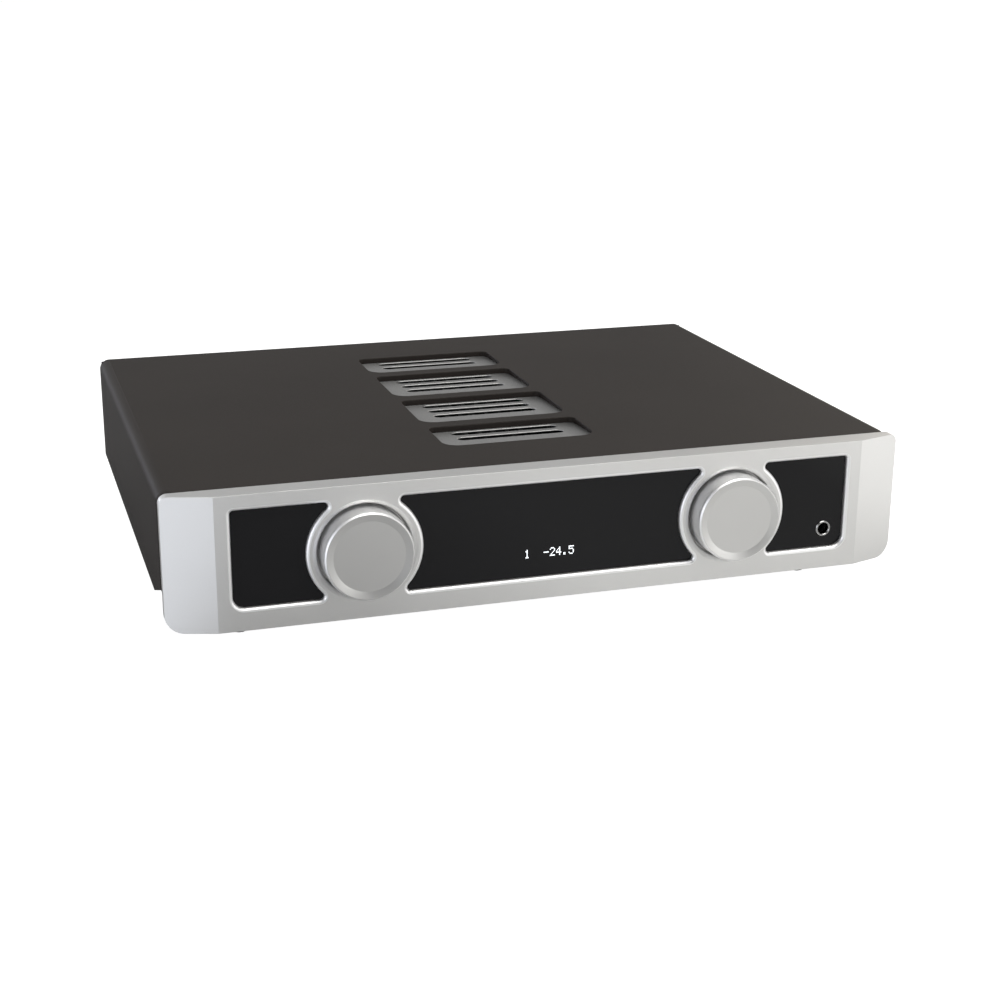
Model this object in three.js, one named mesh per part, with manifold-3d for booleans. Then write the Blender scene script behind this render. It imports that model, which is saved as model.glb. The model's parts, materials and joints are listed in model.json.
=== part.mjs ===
// Headphone amplifier, in millimetres. +Z is up and the front plate faces -Y.
// The origin is under the middle of the case, on the plane that the feet stand on.
import * as THREE from 'three';
import { mergeVertices } from 'three/addons/utils/BufferGeometryUtils.js';
import Module from 'manifold-3d';

const wasm = await Module();
wasm.setup();

// ---- Driving dimensions ----

const gap = 0.1; // between pieces that rest on each other
const sheet = 1.5; // thickness of the folded steel sheets
const circleSteps = 32; // facets round the large turned pieces
const smallCircleSteps = 16; // facets round the small ones
const arcSteps = 2; // half the number of facets in each drawn arc

const plate = { width: 430, height: 76, thickness: 13.5, bottom: 15, back: -148 };
plate.top = plate.bottom + plate.height;
plate.front = plate.back - plate.thickness;
plate.fold = 188; // where the ends start to sweep back
plate.endThickness = 5.5;
plate.topRadius = 5;
plate.bottomRadius = 10;

const glass = { top: plate.top - 8.7, bottom: plate.bottom + 12.5, end: 179.5 };
glass.lip = 3; // how far the glass sits behind the face of the plate
glass.thickness = 3;
glass.rim = 2.5; // how far the glass reaches past its opening
glass.tipRadius = 2.2; // of the corners beside the knobs
glass.topRadius = 2; // of the outer ends' corners
glass.bottomRadius = 6.5;

const knob = { x: 107.5, z: plate.bottom + 38.4, radius: 24.8, proud: 10.5 };
knob.front = plate.front - knob.proud;
knob.glassRadius = 32.5; // the windows end in arcs about the knob
knob.travel = 0.5;
knob.well = { mouth: 29, radius: 26, coveDepth: 2.5, depth: 7.5, nutRoom: 9 };
knob.back = plate.front + knob.well.depth - knob.travel - 0.5;
knob.hubRadius = 9;
knob.dish = { radius: 19.6, depth: 1.1 };
knob.wall = 3;
knob.faceThickness = 5;

const shaft = { radius: 3, running: 0.1 };

const cover = { halfWidth: 214.9, top: plate.top - 0.7, bottom: plate.bottom + 8.7, radius: 6.3 };
cover.front = plate.back + 0.4;
cover.back = 166.1;
cover.frontRadius = 9;
cover.relief = { length: 38, height: 13.9 }; // the slanted cut at each side's lower front corner
cover.inner = cover.halfWidth - sheet;
cover.hem = { inner: 207, back: 160 }; // the sides' turned-in lower edges
cover.tabInner = 200.5; // the rear tabs that the screws pass through
cover.screws = { x: 207, z: [38, 76], clearance: 1.8 };

const tray = { front: plate.back + 0.6, back: 164.5, bottom: cover.bottom, narrow: 206 };
tray.floor = tray.bottom + sheet;
tray.step = cover.front + cover.relief.length + 3; // behind this it is a little wider
tray.stepWidth = 0.7;
tray.flange = { back: 155, height: 18 };
tray.slots = { x: [-20, 20], y: [-60, -20, 20, 60], halfLength: 15, halfWidth: 2 };

const bulkhead = { front: plate.back + 0.5, bottom: tray.floor + 0.3, top: cover.top - 2, halfWidth: 204 };
bulkhead.back = bulkhead.front + sheet;

const rear = { back: 164.5, bottom: tray.floor + 0.3, top: cover.top - sheet - 0.3 };
rear.front = rear.back - sheet;
rear.connectorBack = 172; // how far back the phono sockets reach

const vent = { halfWidth: 45.8, slotCounts: [2, 3, 3, 2], front: -102.4, depth: 3.1 };
vent.slot = { length: 65.4, width: 5.2, pitch: 13.1 };
vent.frontMargin = 20.8; // from the opening's front edge to the first slot's middle
vent.backMargin = 6.3;
vent.spacing = 11.2;
vent.frontRadius = 9.5;
vent.backRadius = 4.5;
vent.rim = 3; // how far each grille reaches under the cover
vent.floorThickness = 1.2;

const foot = { x: 171, front: -122, back: 137, topRadius: 12, tipRadius: 6, padRadius: 4.6 };

const socket = { x: 167.8, z: plate.bottom + 23.3, bore: 3.3, ring: 4.75 };

const phono = { x: [70, 100, 130], z: [49.5, 64.5], radius: 4.15, pin: 1.6, pinDepth: 8 };
phono.block = { halfWidth: 6.5, halfHeight: 13.6, depth: 14 };

const inlet = { x: -148, z: 56, width: 62, height: 26, depth: 24, flange: 3, flangeThickness: 2.4 };
inlet.face = rear.back + gap + inlet.flangeThickness;
const rocker = { x: inlet.x + 22, width: 13, pivot: inlet.face - 4, reach: 9.3, tilt: 12 };
const drawer = { x: inlet.x + 5.5, width: 9, height: 22.4, depth: 16 };
const power = { x: inlet.x - 14.5, width: 24, height: 16.5, depth: 17, corner: 5 };
power.pins = [[-7, -2.5], [7, -2.5], [0, 2.5]]; // from the recess's middle

// ---- Finishes ----

const finish = (color, roughness, metalness) => ({ color, roughness, metalness });
const finishes = {
  silver: finish(0xc6c6c5, 0.38, 0.9),
  glass: finish(0x1b1b1e, 0.08, 0.1),
  charcoal: finish(0x403c3a, 0.5, 0.3),
  ventGrey: finish(0x8e8e8d, 0.4, 0.7),
  steel: finish(0x9a9c9e, 0.4, 0.9),
  black: finish(0x1a1a1b, 0.5, 0.0),
  brass: finish(0xb89a5a, 0.35, 0.9),
  board: finish(0x1f4a33, 0.5, 0.0),
  rubber: finish(0x17181a, 0.9, 0.0),
  copper: finish(0x9c5a33, 0.4, 0.7),
  capacitor: finish(0x23262e, 0.35, 0.1),
  heatsink: finish(0x2a2a2c, 0.5, 0.7),
  clear: finish(0xd5dadb, 0.1, 0.0),
  display: finish(0x10131a, 0.2, 0.0),
};

const group = new THREE.Group();

// Adds a named mesh with one of the finishes.
function place(name, geometry, look) {
  const mesh = new THREE.Mesh(geometry, new THREE.MeshStandardMaterial(finishes[look]));
  mesh.name = name;
  group.add(mesh);
}

// ---- Solids ----

// A closed geometry as a solid that can be cut and joined.
function solid(geometry) {
  const bare = geometry.clone();
  bare.deleteAttribute('normal');
  bare.deleteAttribute('uv');
  const merged = mergeVertices(bare, 1e-4);
  return new wasm.Manifold(new wasm.Mesh({
    numProp: 3,
    vertProperties: merged.attributes.position.array,
    triVerts: new Uint32Array(merged.index.array),
  }));
}

function geometryOf(made) {
  const mesh = made.getMesh();
  const geometry = new THREE.BufferGeometry();
  geometry.setAttribute('position', new THREE.BufferAttribute(mesh.vertProperties, 3));
  geometry.setIndex(new THREE.BufferAttribute(mesh.triVerts, 1));
  geometry.computeVertexNormals();
  return geometry;
}

// The first geometry with the others cut away.
function cut(base, ...tools) {
  const made = tools.reduce((left, tool) => left.subtract(solid(tool)), solid(base));
  return geometryOf(made);
}

function join(...geometries) {
  const made = geometries.map(solid).reduce((sum, next) => sum.add(next));
  return geometryOf(made);
}

function common(first, second) {
  return geometryOf(solid(first).intersect(solid(second)));
}

// A box from its lowest corner to its highest.
function block(low, high) {
  const size = high.map((value, i) => value - low[i]);
  const middle = high.map((value, i) => (value + low[i]) / 2);
  return new THREE.BoxGeometry(...size).translate(...middle);
}

function extrude(shape, depth, steps = arcSteps) {
  return new THREE.ExtrudeGeometry(shape, { depth, bevelEnabled: false, curveSegments: steps });
}

// A shape drawn in x and z, run along Y.
function alongY(shape, front, back, steps) {
  return extrude(shape, back - front, steps).rotateX(Math.PI / 2).translate(0, back, 0);
}

// A shape drawn in x and y, run up Z.
function alongZ(shape, bottom, top, steps) {
  return extrude(shape, top - bottom, steps).translate(0, 0, bottom);
}

// A shape drawn in y and z, run along X.
function alongX(shape, left, right, steps) {
  const turn = new THREE.Matrix4().makeBasis(
    new THREE.Vector3(0, 1, 0), new THREE.Vector3(0, 0, 1), new THREE.Vector3(1, 0, 0));
  return extrude(shape, right - left, steps).applyMatrix4(turn).translate(left, 0, 0);
}

// A profile of [radius, y] points turned about the Y axis.
function turnedY(profile, steps = smallCircleSteps) {
  const points = profile.map(([radius, y]) => new THREE.Vector2(radius, y));
  if (THREE.ShapeUtils.area(points) < 0) points.reverse();
  return new THREE.LatheGeometry(points, steps);
}

// A profile of [radius, z] points turned about the Z axis.
function turnedZ(profile, steps) {
  return turnedY(profile, steps).rotateX(Math.PI / 2);
}

function rodY(radius, front, back, steps) {
  return turnedY([[0, front], [radius, front], [radius, back], [0, back]], steps);
}

function rodZ(radius, bottom, top, steps) {
  return turnedZ([[0, bottom], [radius, bottom], [radius, top], [0, top]], steps);
}

// ---- Shapes ----

function polygon(points) {
  return new THREE.Shape(points.map(([x, y]) => new THREE.Vector2(x, y)));
}

// A rectangle whose lower and upper corners are rounded.
function roundedRectangle(left, low, right, high, lowRadius, highRadius = lowRadius) {
  const shape = new THREE.Shape();
  const quarter = Math.PI / 2;
  shape.absarc(right - lowRadius, low + lowRadius, lowRadius, -quarter, 0);
  shape.absarc(right - highRadius, high - highRadius, highRadius, 0, quarter);
  shape.absarc(left + highRadius, high - highRadius, highRadius, quarter, 2 * quarter);
  shape.absarc(left + lowRadius, low + lowRadius, lowRadius, 2 * quarter, 3 * quarter);
  shape.closePath();
  return shape;
}

// The end of a window that bends round a knob: a small arc, the big arc back, and a small arc.
// side is the way the end lies from the knob, and upward the way the outline runs there.
function addArcEnd(shape, knobX, side, upward, grow) {
  const radius = knob.glassRadius - grow;
  const tip = glass.tipRadius + grow;
  const tips = [glass.bottom - grow + tip, glass.top + grow - tip].map((z) => {
    const rise = z - knob.z;
    return { x: knobX + side * Math.sqrt((radius + tip) ** 2 - rise ** 2), z };
  });
  if (!upward) tips.reverse();
  const [first, last] = tips;
  const angle = (from, to) => Math.atan2(to.z - from.z, to.x - from.x);
  const centre = { x: knobX, z: knob.z };
  const start = upward ? -Math.PI / 2 : Math.PI / 2;
  shape.absarc(first.x, first.z, tip, start, angle(first, centre), false);
  shape.absarc(knobX, knob.z, radius, angle(centre, first), angle(centre, last), true);
  shape.absarc(last.x, last.z, tip, angle(last, centre), -start, false);
}

// The upright end of a window, with a small upper corner and a large lower one.
function addStraightEnd(shape, x, side, upward, grow) {
  const topRadius = glass.topRadius + grow;
  const bottomRadius = glass.bottomRadius + grow;
  const end = x + side * grow;
  const bottom = [end - side * bottomRadius, glass.bottom - grow + bottomRadius, bottomRadius];
  const top = [end - side * topRadius, glass.top + grow - topRadius, topRadius];
  const quarter = Math.PI / 2;
  if (upward) {
    shape.absarc(...bottom, -quarter, 0);
    shape.absarc(...top, 0, quarter);
  } else {
    shape.absarc(...top, quarter, 2 * quarter);
    shape.absarc(...bottom, 2 * quarter, 3 * quarter);
  }
}

// A window's outline, grown outwards. Each end is an arc about a knob, or straight.
function windowShape(left, right, grow) {
  const shape = new THREE.Shape();
  const addRight = right.knob ? addArcEnd : addStraightEnd;
  const addLeft = left.knob ? addArcEnd : addStraightEnd;
  addRight(shape, right.x, right.knob ? -1 : 1, true, grow);
  addLeft(shape, left.x, left.knob ? 1 : -1, false, grow);
  shape.closePath();
  return shape;
}

const windows = [
  { name: 'window_left', left: { x: -glass.end }, right: { x: -knob.x, knob: true } },
  { name: 'window_centre', left: { x: -knob.x, knob: true }, right: { x: knob.x, knob: true } },
  { name: 'window_right', left: { x: knob.x, knob: true }, right: { x: glass.end } },
];

// Both sides of the object, by name.
const sides = [{ name: 'left', sign: -1 }, { name: 'right', sign: 1 }];

// ---- Front plate and windows ----

const windowSteps = 4;

function frontPlate() {
  const half = plate.width / 2;
  const endFront = plate.back - plate.endThickness;
  const plan = polygon([
    [-half, plate.back], [-half, endFront], [-plate.fold, plate.front],
    [plate.fold, plate.front], [half, endFront], [half, plate.back],
  ]);
  const face = roundedRectangle(
    -half, plate.bottom, half, plate.top, plate.bottomRadius, plate.topRadius);
  const bar = common(
    alongZ(plan, plate.bottom - 1, plate.top + 1),
    alongY(face, plate.front - 1, plate.back + 1));
  const tools = [];
  for (const { left, right } of windows) {
    const lipBack = plate.front + glass.lip;
    tools.push(alongY(windowShape(left, right, 0), plate.front - 1, lipBack + 1, windowSteps));
    tools.push(alongY(windowShape(left, right, glass.rim), lipBack, plate.back + 1, windowSteps));
  }
  for (const { sign } of sides) {
    const { mouth, radius, coveDepth, depth, nutRoom } = knob.well;
    const well = turnedY([
      [0, plate.front - 1], [mouth, plate.front - 1], [mouth, plate.front],
      [radius, plate.front + coveDepth], [radius, plate.front + depth],
      [0, plate.front + depth],
    ], circleSteps);
    tools.push(well.translate(sign * knob.x, 0, knob.z));
    const hole = rodY(nutRoom, plate.front, plate.back + 1);
    tools.push(hole.translate(sign * knob.x, 0, knob.z));
  }
  return cut(bar, ...tools);
}

function windowGlass(left, right) {
  const front = plate.front + glass.lip + gap;
  const outline = windowShape(left, right, glass.rim - 0.3);
  const pane = alongY(outline, front, front + glass.thickness, windowSteps);
  if (right.knob) return pane;
  const hole = rodY(socket.ring + 0.15, plate.front, plate.back);
  return cut(pane, hole.translate(socket.x, 0, socket.z));
}

// ---- Knobs and their encoders ----

function knobBody() {
  const { radius, front, back, hubRadius, dish, wall, faceThickness } = knob;
  const edge = 1;
  const cavity = front + faceThickness;
  const bore = shaft.radius + shaft.running;
  const body = turnedY([
    [0, front + dish.depth], [dish.radius, front + dish.depth], [radius - edge, front],
    [radius - 0.3 * edge, front + 0.3 * edge], [radius, front + edge], [radius, back],
    [radius - wall, back], [radius - wall, cavity], [hubRadius, cavity], [hubRadius, back],
    [bore, back], [bore, cavity], [0, cavity],
  ], circleSteps);
  return cut(body, grubHole());
}

const grub = { radius: 1.5, length: 5, y: knob.front + knob.faceThickness + 2.2 };

// A hole from the hub out through the knob's underside.
function grubHole() {
  return rodZ(grub.radius + 0.1, -knob.radius - 1, -shaft.radius, 12).translate(0, grub.y, 0);
}

function grubScrew() {
  const tip = -shaft.radius - 0.3;
  const screw = rodZ(grub.radius, tip - grub.length, tip, 12);
  const key = rodZ(0.85, tip - grub.length - 1, tip - grub.length + 2, 6);
  return cut(screw, key).translate(0, grub.y, 0);
}

const encoder = { front: bulkhead.back + gap, depth: 10, half: 6.5, bushing: 4.5 };
encoder.back = encoder.front + encoder.depth;
encoder.nose = plate.front + knob.well.depth;
encoder.shaftBack = encoder.back - 3.6;

function encoderHousing() {
  const { front, back, half, bushing, nose } = encoder;
  const body = block([-half, front, -half], [half, back, half]);
  const bore = rodY(shaft.radius + shaft.running, nose - 1, back + 1);
  return cut(join(body, rodY(bushing, nose, front + 1)), bore);
}

function encoderNut() {
  const back = bulkhead.front - gap;
  const hexagon = rodY(6.2, back - 2.2, back, 6);
  return cut(hexagon, rodY(encoder.bushing + 0.1, back - 3, back + 1));
}

function encoderShaft() {
  return rodY(shaft.radius, knob.front + knob.faceThickness + 0.4, encoder.shaftBack);
}

// A disc behind the shaft that a press on the knob moves.
function encoderPlunger() {
  const front = encoder.shaftBack + gap;
  return rodY(shaft.radius, front, front + 2);
}

// ---- Headphone socket ----

const jack = { back: -124, half: 8.5, front: plate.front + glass.lip + glass.thickness + 2 * gap };
jack.board = { halfWidth: 11, front: -146, back: -116, thickness: 1.6 };

function jackBody() {
  const { front, back, half } = jack;
  const body = block([-half, front, -half], [half, back, half]);
  const bore = rodY(socket.bore, front - 1, back - 1);
  return cut(body, bore).translate(socket.x, 0, socket.z);
}

function jackRing() {
  const front = plate.front + glass.lip - 0.8;
  const { bore, ring } = socket;
  const back = jack.front - gap;
  const edge = 0.4;
  const tube = turnedY([
    [bore, front], [ring - edge, front], [ring, front + edge], [ring, back], [bore, back],
    [bore, front],
  ], 20);
  return tube.translate(socket.x, 0, socket.z);
}

function jackBoard() {
  const { halfWidth, front, back, thickness } = jack.board;
  const top = socket.z - jack.half - gap;
  return block([socket.x - halfWidth, front, top - thickness], [socket.x + halfWidth, back, top]);
}

// ---- Cover and vents ----

// The cover's outline from the front, pulled in all round and open below.
function coverSection(inset) {
  const half = cover.halfWidth - inset;
  const radius = cover.radius - inset;
  const low = inset ? cover.bottom - 1 : cover.bottom;
  return roundedRectangle(-half, low, half, cover.top - inset, 0.01, radius);
}

// The cover's outline from above, with rounded front corners. The inner one runs out at the front.
function coverPlan(inset) {
  const half = cover.halfWidth - inset;
  const radius = cover.frontRadius - inset;
  const front = cover.front + inset;
  const shape = new THREE.Shape();
  shape.moveTo(half, cover.back + 1);
  shape.lineTo(-half, cover.back + 1);
  shape.absarc(-half + radius, front + radius, radius, Math.PI, 1.5 * Math.PI);
  if (inset) {
    shape.lineTo(-half + radius, cover.front - 1);
    shape.lineTo(half - radius, cover.front - 1);
  }
  shape.absarc(half - radius, front + radius, radius, 1.5 * Math.PI, 2 * Math.PI);
  shape.closePath();
  return shape;
}

// Each vent as its opening's front and back edges and the middles of its slots.
function ventPlaces() {
  const places = [];
  let front = vent.front;
  for (const count of vent.slotCounts) {
    const first = front + vent.frontMargin;
    const slots = Array.from({ length: count }, (_, i) => first + i * vent.slot.pitch);
    const back = slots[count - 1] + vent.backMargin;
    places.push({ front, back, slots });
    front = back + vent.spacing;
  }
  return places;
}

function ventShape({ front, back }, grow) {
  return roundedRectangle(
    -vent.halfWidth - grow, front - grow, vent.halfWidth + grow, back + grow,
    vent.frontRadius + grow, vent.backRadius + grow);
}

const screwPlaces = sides.flatMap(({ sign }) => cover.screws.z.map((z) => ({ x: sign * cover.screws.x, z })));

// A box whose x range is given for the right side, on either side.
function sideBlock(sign, [inner, front, bottom], [outer, back, top]) {
  const xs = [sign * inner, sign * outer];
  return block([Math.min(...xs), front, bottom], [Math.max(...xs), back, top]);
}

// The bent sheet before its openings are cut.
function coverShell() {
  const outer = common(
    alongY(coverSection(0), cover.front - 1, cover.back),
    alongZ(coverPlan(0), cover.bottom - 1, cover.top + 1));
  const inner = common(
    alongY(coverSection(sheet), cover.front - 1, cover.back + 1),
    alongZ(coverPlan(sheet), cover.bottom - 2, cover.top + 1));
  return cut(outer, inner);
}

function topCover() {
  const { hem, relief, tabInner } = cover;
  const reach = cover.inner + 0.5; // into the side, so that the pieces join
  const folds = sides.flatMap(({ sign }) => [
    sideBlock(sign,
      [hem.inner, cover.front + relief.length + 4, cover.bottom],
      [reach, hem.back, cover.bottom + sheet]),
    sideBlock(sign, [tabInner, cover.back - sheet, tray.floor], [reach, cover.back, cover.top - 1]),
  ]);
  const reliefBack = cover.front + relief.length;
  const corner = polygon([
    [cover.front - 2, cover.bottom - 2], [reliefBack, cover.bottom - 2],
    [reliefBack, cover.bottom], [cover.front, cover.bottom + relief.height],
    [cover.front - 2, cover.bottom + relief.height],
  ]);
  const holes = screwPlaces.map(({ x, z }) => (
    rodY(cover.screws.clearance, cover.back - 6, cover.back + 1, 8).translate(x, 0, z)));
  const openings = ventPlaces().map((place) => (
    alongZ(ventShape(place, 0), cover.top - 2 * sheet, cover.top + 1)));
  const corners = alongX(corner, -cover.halfWidth - 1, cover.halfWidth + 1);
  return cut(join(coverShell(), ...folds), corners, ...openings, ...holes);
}

// A tray under one opening in the cover: a floor with slots, and a rim that meets the cover.
function ventGrille(place) {
  const top = cover.top - sheet - gap;
  const floor = cover.top - vent.depth;
  const under = floor - vent.floorThickness;
  const pan = alongZ(ventShape(place, vent.rim), under, top);
  const hollow = alongZ(ventShape(place, 0), floor, top + 1);
  const { length, width } = vent.slot;
  const slots = place.slots.map((y) => {
    const shape = roundedRectangle(
      -length / 2, y - width / 2, length / 2, y + width / 2, width / 2 - 0.01);
    return alongZ(shape, under - 1, floor + 1);
  });
  return cut(pan, hollow, ...slots);
}

// ---- Chassis ----

// Board posts are pressed up out of the tray's floor.
const posts = {
  amp: { x: [58, 192], y: [-92, 112], top: 33 },
  input: { x: [60, 140], y: [132, 156], top: 40 },
};

function baseTray() {
  const { narrow, step, stepWidth, front, back, bottom, floor, flange, slots } = tray;
  const wide = narrow + stepWidth;
  const outline = polygon([
    [-narrow, front], [narrow, front], [narrow, step], [wide, step],
    [wide, back], [-wide, back], [-wide, step], [-narrow, step],
  ]);
  const flanges = sides.map(({ sign }) => sideBlock(sign,
    [narrow - sheet, step, bottom + 0.5], [narrow, flange.back, floor + flange.height]));
  const pressed = Object.values(posts).flatMap(({ x, y, top }) => (
    x.flatMap((px) => y.map((py) => rodZ(3.5, floor - 1, top, 8).translate(px, py, 0)))));
  const vents = slots.x.flatMap((x) => slots.y.map((y) => {
    const { halfLength, halfWidth } = slots;
    const slot = roundedRectangle(
      x - halfLength, y - halfWidth, x + halfLength, y + halfWidth, halfWidth - 0.1);
    return alongZ(slot, bottom - 1, floor + 1, 1);
  }));
  return cut(join(alongZ(outline, bottom, floor), ...flanges, ...pressed), ...vents);
}

const display = { z: plate.bottom + 27.5, front: plate.front + glass.lip + glass.thickness + 2 * gap };
display.halfWidth = 28;
display.halfHeight = 8.5;
display.boardHalfWidth = 34;
display.boardHalfHeight = 11;

function subPanel() {
  const { front, back, bottom, top, halfWidth } = bulkhead;
  const displayRoom = { half: display.boardHalfWidth + 2, low: display.z - 12.5, high: display.z + 14.5 };
  const jackRoom = { half: jack.board.halfWidth + 1, low: 27, high: socket.z + jack.half + 1.5 };
  const tools = [
    block([-displayRoom.half, front - 1, displayRoom.low], [displayRoom.half, back + 1, displayRoom.high]),
    block(
      [socket.x - jackRoom.half, front - 1, jackRoom.low],
      [socket.x + jackRoom.half, back + 1, jackRoom.high]),
    ...sides.map(({ sign }) => (
      rodY(encoder.bushing + 0.2, front - 1, back + 1).translate(sign * knob.x, 0, knob.z))),
  ];
  return cut(block([-halfWidth, front, bottom], [halfWidth, back, top]), ...tools);
}

function rearPanel() {
  const { front, back, bottom, top } = rear;
  const half = cover.inner - 0.3;
  const outline = roundedRectangle(-half, bottom, half, top, 0.5, cover.radius - sheet + 0.5);
  const clearance = 0.3;
  const halfWidth = inlet.width / 2 + clearance;
  const halfHeight = inlet.height / 2 + clearance;
  const inletRoom = block(
    [inlet.x - halfWidth, front - 1, inlet.z - halfHeight],
    [inlet.x + halfWidth, back + 1, inlet.z + halfHeight]);
  const hole = (radius, steps, x, z) => rodY(radius, front - 1, back + 1, steps).translate(x, 0, z);
  const phonoHoles = phono.x.flatMap((x) => phono.z.map((z) => hole(phono.radius + 0.4, 12, x, z)));
  const screwHoles = screwPlaces.map(({ x, z }) => hole(cover.screws.clearance, 8, x, z));
  return cut(alongY(outline, front, back), inletRoom, ...phonoHoles, ...screwHoles);
}

function coverScrew() {
  const seat = cover.back + gap;
  const head = 2.9;
  const screw = turnedY([
    [0, seat - 9], [1.5, seat - 9], [1.5, seat], [head, seat], [head, seat + 1.2],
    [head - 0.8, seat + 1.9], [0, seat + 1.9],
  ], 12);
  return cut(screw, block([-1.5, seat + 0.8, -0.35], [1.5, seat + 3, 0.35]),
    block([-0.35, seat + 0.8, -1.5], [0.35, seat + 3, 1.5]));
}

function footBody() {
  const top = tray.bottom - gap;
  const pocket = foot.padRadius + 0.1;
  return turnedZ([
    [0, 3.4], [pocket, 3.4], [pocket, 1.2], [foot.tipRadius - 0.5, 1.2], [foot.tipRadius, 1.7],
    [foot.topRadius, top - 5], [foot.topRadius, top], [0, top],
  ], 16);
}

function footPad() {
  return rodZ(foot.padRadius, 0, 3.3);
}

// ---- Electronics ----

// The lit display in front, on a slightly larger board.
function displayModule() {
  const { front, z, halfWidth, halfHeight, boardHalfWidth, boardHalfHeight } = display;
  return join(
    block([-halfWidth, front, z - halfHeight], [halfWidth, front + 3.5, z + halfHeight]),
    block(
      [-boardHalfWidth, front + 3.2, z - boardHalfHeight],
      [boardHalfWidth, front + 4.8, z + boardHalfHeight]));
}

const controlBoard = { front: encoder.back + gap, low: 32, high: 78, halfWidth: 125 };
controlBoard.back = controlBoard.front + 1.6;
controlBoard.connector = { low: 45, high: 52, depth: 6 };
controlBoard.processor = { half: 9, low: 48, high: 66, depth: 2 };
const ribbon = { x: 72, width: 20, high: 48, thickness: 1 };

function controlBoardBody() {
  const { front, back, low, high, halfWidth, connector, processor } = controlBoard;
  const reach = ribbon.width / 2 + 2;
  return join(
    block([-halfWidth, front, low], [halfWidth, back, high]),
    block(
      [ribbon.x - reach, back - 0.5, connector.low],
      [ribbon.x + reach, back + connector.depth, connector.high]),
    block(
      [-processor.half, back - 0.5, processor.low],
      [processor.half, back + processor.depth, processor.high]));
}

// A flat cable that leaves the control board, drops, and runs back over the amplifier board.
function ribbonCable() {
  const start = controlBoard.back + controlBoard.connector.depth + gap;
  const { high, thickness } = ribbon;
  const low = ampBoard.top + 1;
  const bends = [start + 9, start + 17];
  const end = start + 32;
  const side = polygon([
    [start, high], [bends[0], high], [bends[1], low], [end, low],
    [end, low + thickness], [bends[1] + 0.6, low + thickness],
    [bends[0] + 0.6, high + thickness], [start, high + thickness],
  ]);
  return alongX(side, ribbon.x - ribbon.width / 2, ribbon.x + ribbon.width / 2);
}

const toroid = { x: -128, y: 30, bottom: tray.floor + gap, height: 48, radius: 56, hole: 14 };

function transformer() {
  const { bottom, height, radius, hole } = toroid;
  const top = bottom + height;
  const round = 8;
  const turn = round * (1 - Math.SQRT1_2);
  const profile = [
    [hole, bottom + round], [hole + turn, bottom + turn], [hole + round, bottom],
    [radius - round, bottom], [radius - turn, bottom + turn], [radius, bottom + round],
    [radius, top - round], [radius - turn, top - turn], [radius - round, top],
    [hole + round, top], [hole + turn, top - turn], [hole, top - round], [hole, bottom + round],
  ];
  return turnedZ(profile, 24).translate(toroid.x, toroid.y, 0);
}

function transformerWasher() {
  const low = toroid.bottom + toroid.height + gap;
  const disc = turnedZ([
    [3.6, low - 2], [11, low - 2], [20, low], [32, low], [32, low + 1.5], [20, low + 1.5],
    [11, low - 0.5], [3.6, low - 0.5], [3.6, low - 2],
  ], 20);
  return disc.translate(toroid.x, toroid.y, 0);
}

function transformerBolt() {
  const seat = toroid.bottom + toroid.height + gap - 0.4;
  return join(rodZ(3, toroid.bottom, seat + 1, 16), rodZ(6.5, seat, seat + 4.5, 6))
    .translate(toroid.x, toroid.y, 0);
}

const ampBoard = { low: posts.amp.top + gap, left: 50, right: 200, front: -100, back: 120 };
ampBoard.top = ampBoard.low + 1.6;
ampBoard.relays = { x: [62, 80, 170, 186], halfWidth: 5, front: -60, back: -45, height: 14 };
ampBoard.rectifiers = { x: [150, 170], halfWidth: 8, front: 80, back: 92, height: 18 };
const capacitors = { x: [70, 105, 140, 175], y: 20, radius: 15, height: 40 };

function ampBoardBody() {
  const { low, top, left, right, front, back, relays, rectifiers } = ampBoard;
  const parts = [relays, rectifiers].flatMap((part) => part.x.map((x) => block(
    [x - part.halfWidth, part.front, top - 0.5],
    [x + part.halfWidth, part.back, top + part.height])));
  return join(block([left, front, low], [right, back, top]), ...parts);
}

// A can with a crimped groove near its foot.
function filterCapacitor(x) {
  const { y, radius, height } = capacitors;
  const low = ampBoard.top + gap;
  const neck = radius - 0.4;
  const can = turnedZ([
    [0, low], [neck, low], [neck, low + 3], [radius - 1, low + 4], [neck, low + 5], [radius, low + 6],
    [radius, low + height - 1], [radius - 1, low + height], [0, low + height],
  ], 14);
  return can.translate(x, y, 0);
}

function heatsink() {
  const low = tray.floor + gap;
  const top = cover.top - vent.depth - 7;
  const half = 36;
  const base = 6;
  const fins = 9;
  const finWidth = 2.5;
  const front = -92;
  const back = 108;
  const pitch = (2 * half - finWidth) / (fins - 1);
  const outline = [[-half, low], [half, low]];
  for (let i = fins - 1; i >= 0; i -= 1) {
    const left = -half + i * pitch;
    outline.push([left + finWidth, low + base], [left + finWidth, top], [left, top], [left, low + base]);
  }
  // The outer fins stand flush with the base, so the points on its ends are left out.
  const clean = outline.filter(([x, z]) => !(z === low + base && Math.abs(x) === half));
  return alongY(polygon(clean), front, back);
}

function inputBoard() {
  const low = posts.input.top + gap;
  const relay = { half: 5, front: 129, back: 139, height: 11 };
  return join(
    block([54, 126, low], [146, 160, low + 1.6]),
    ...phono.x.map((x) => block(
      [x - relay.half, relay.front, low + 1], [x + relay.half, relay.back, low + relay.height])));
}

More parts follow.
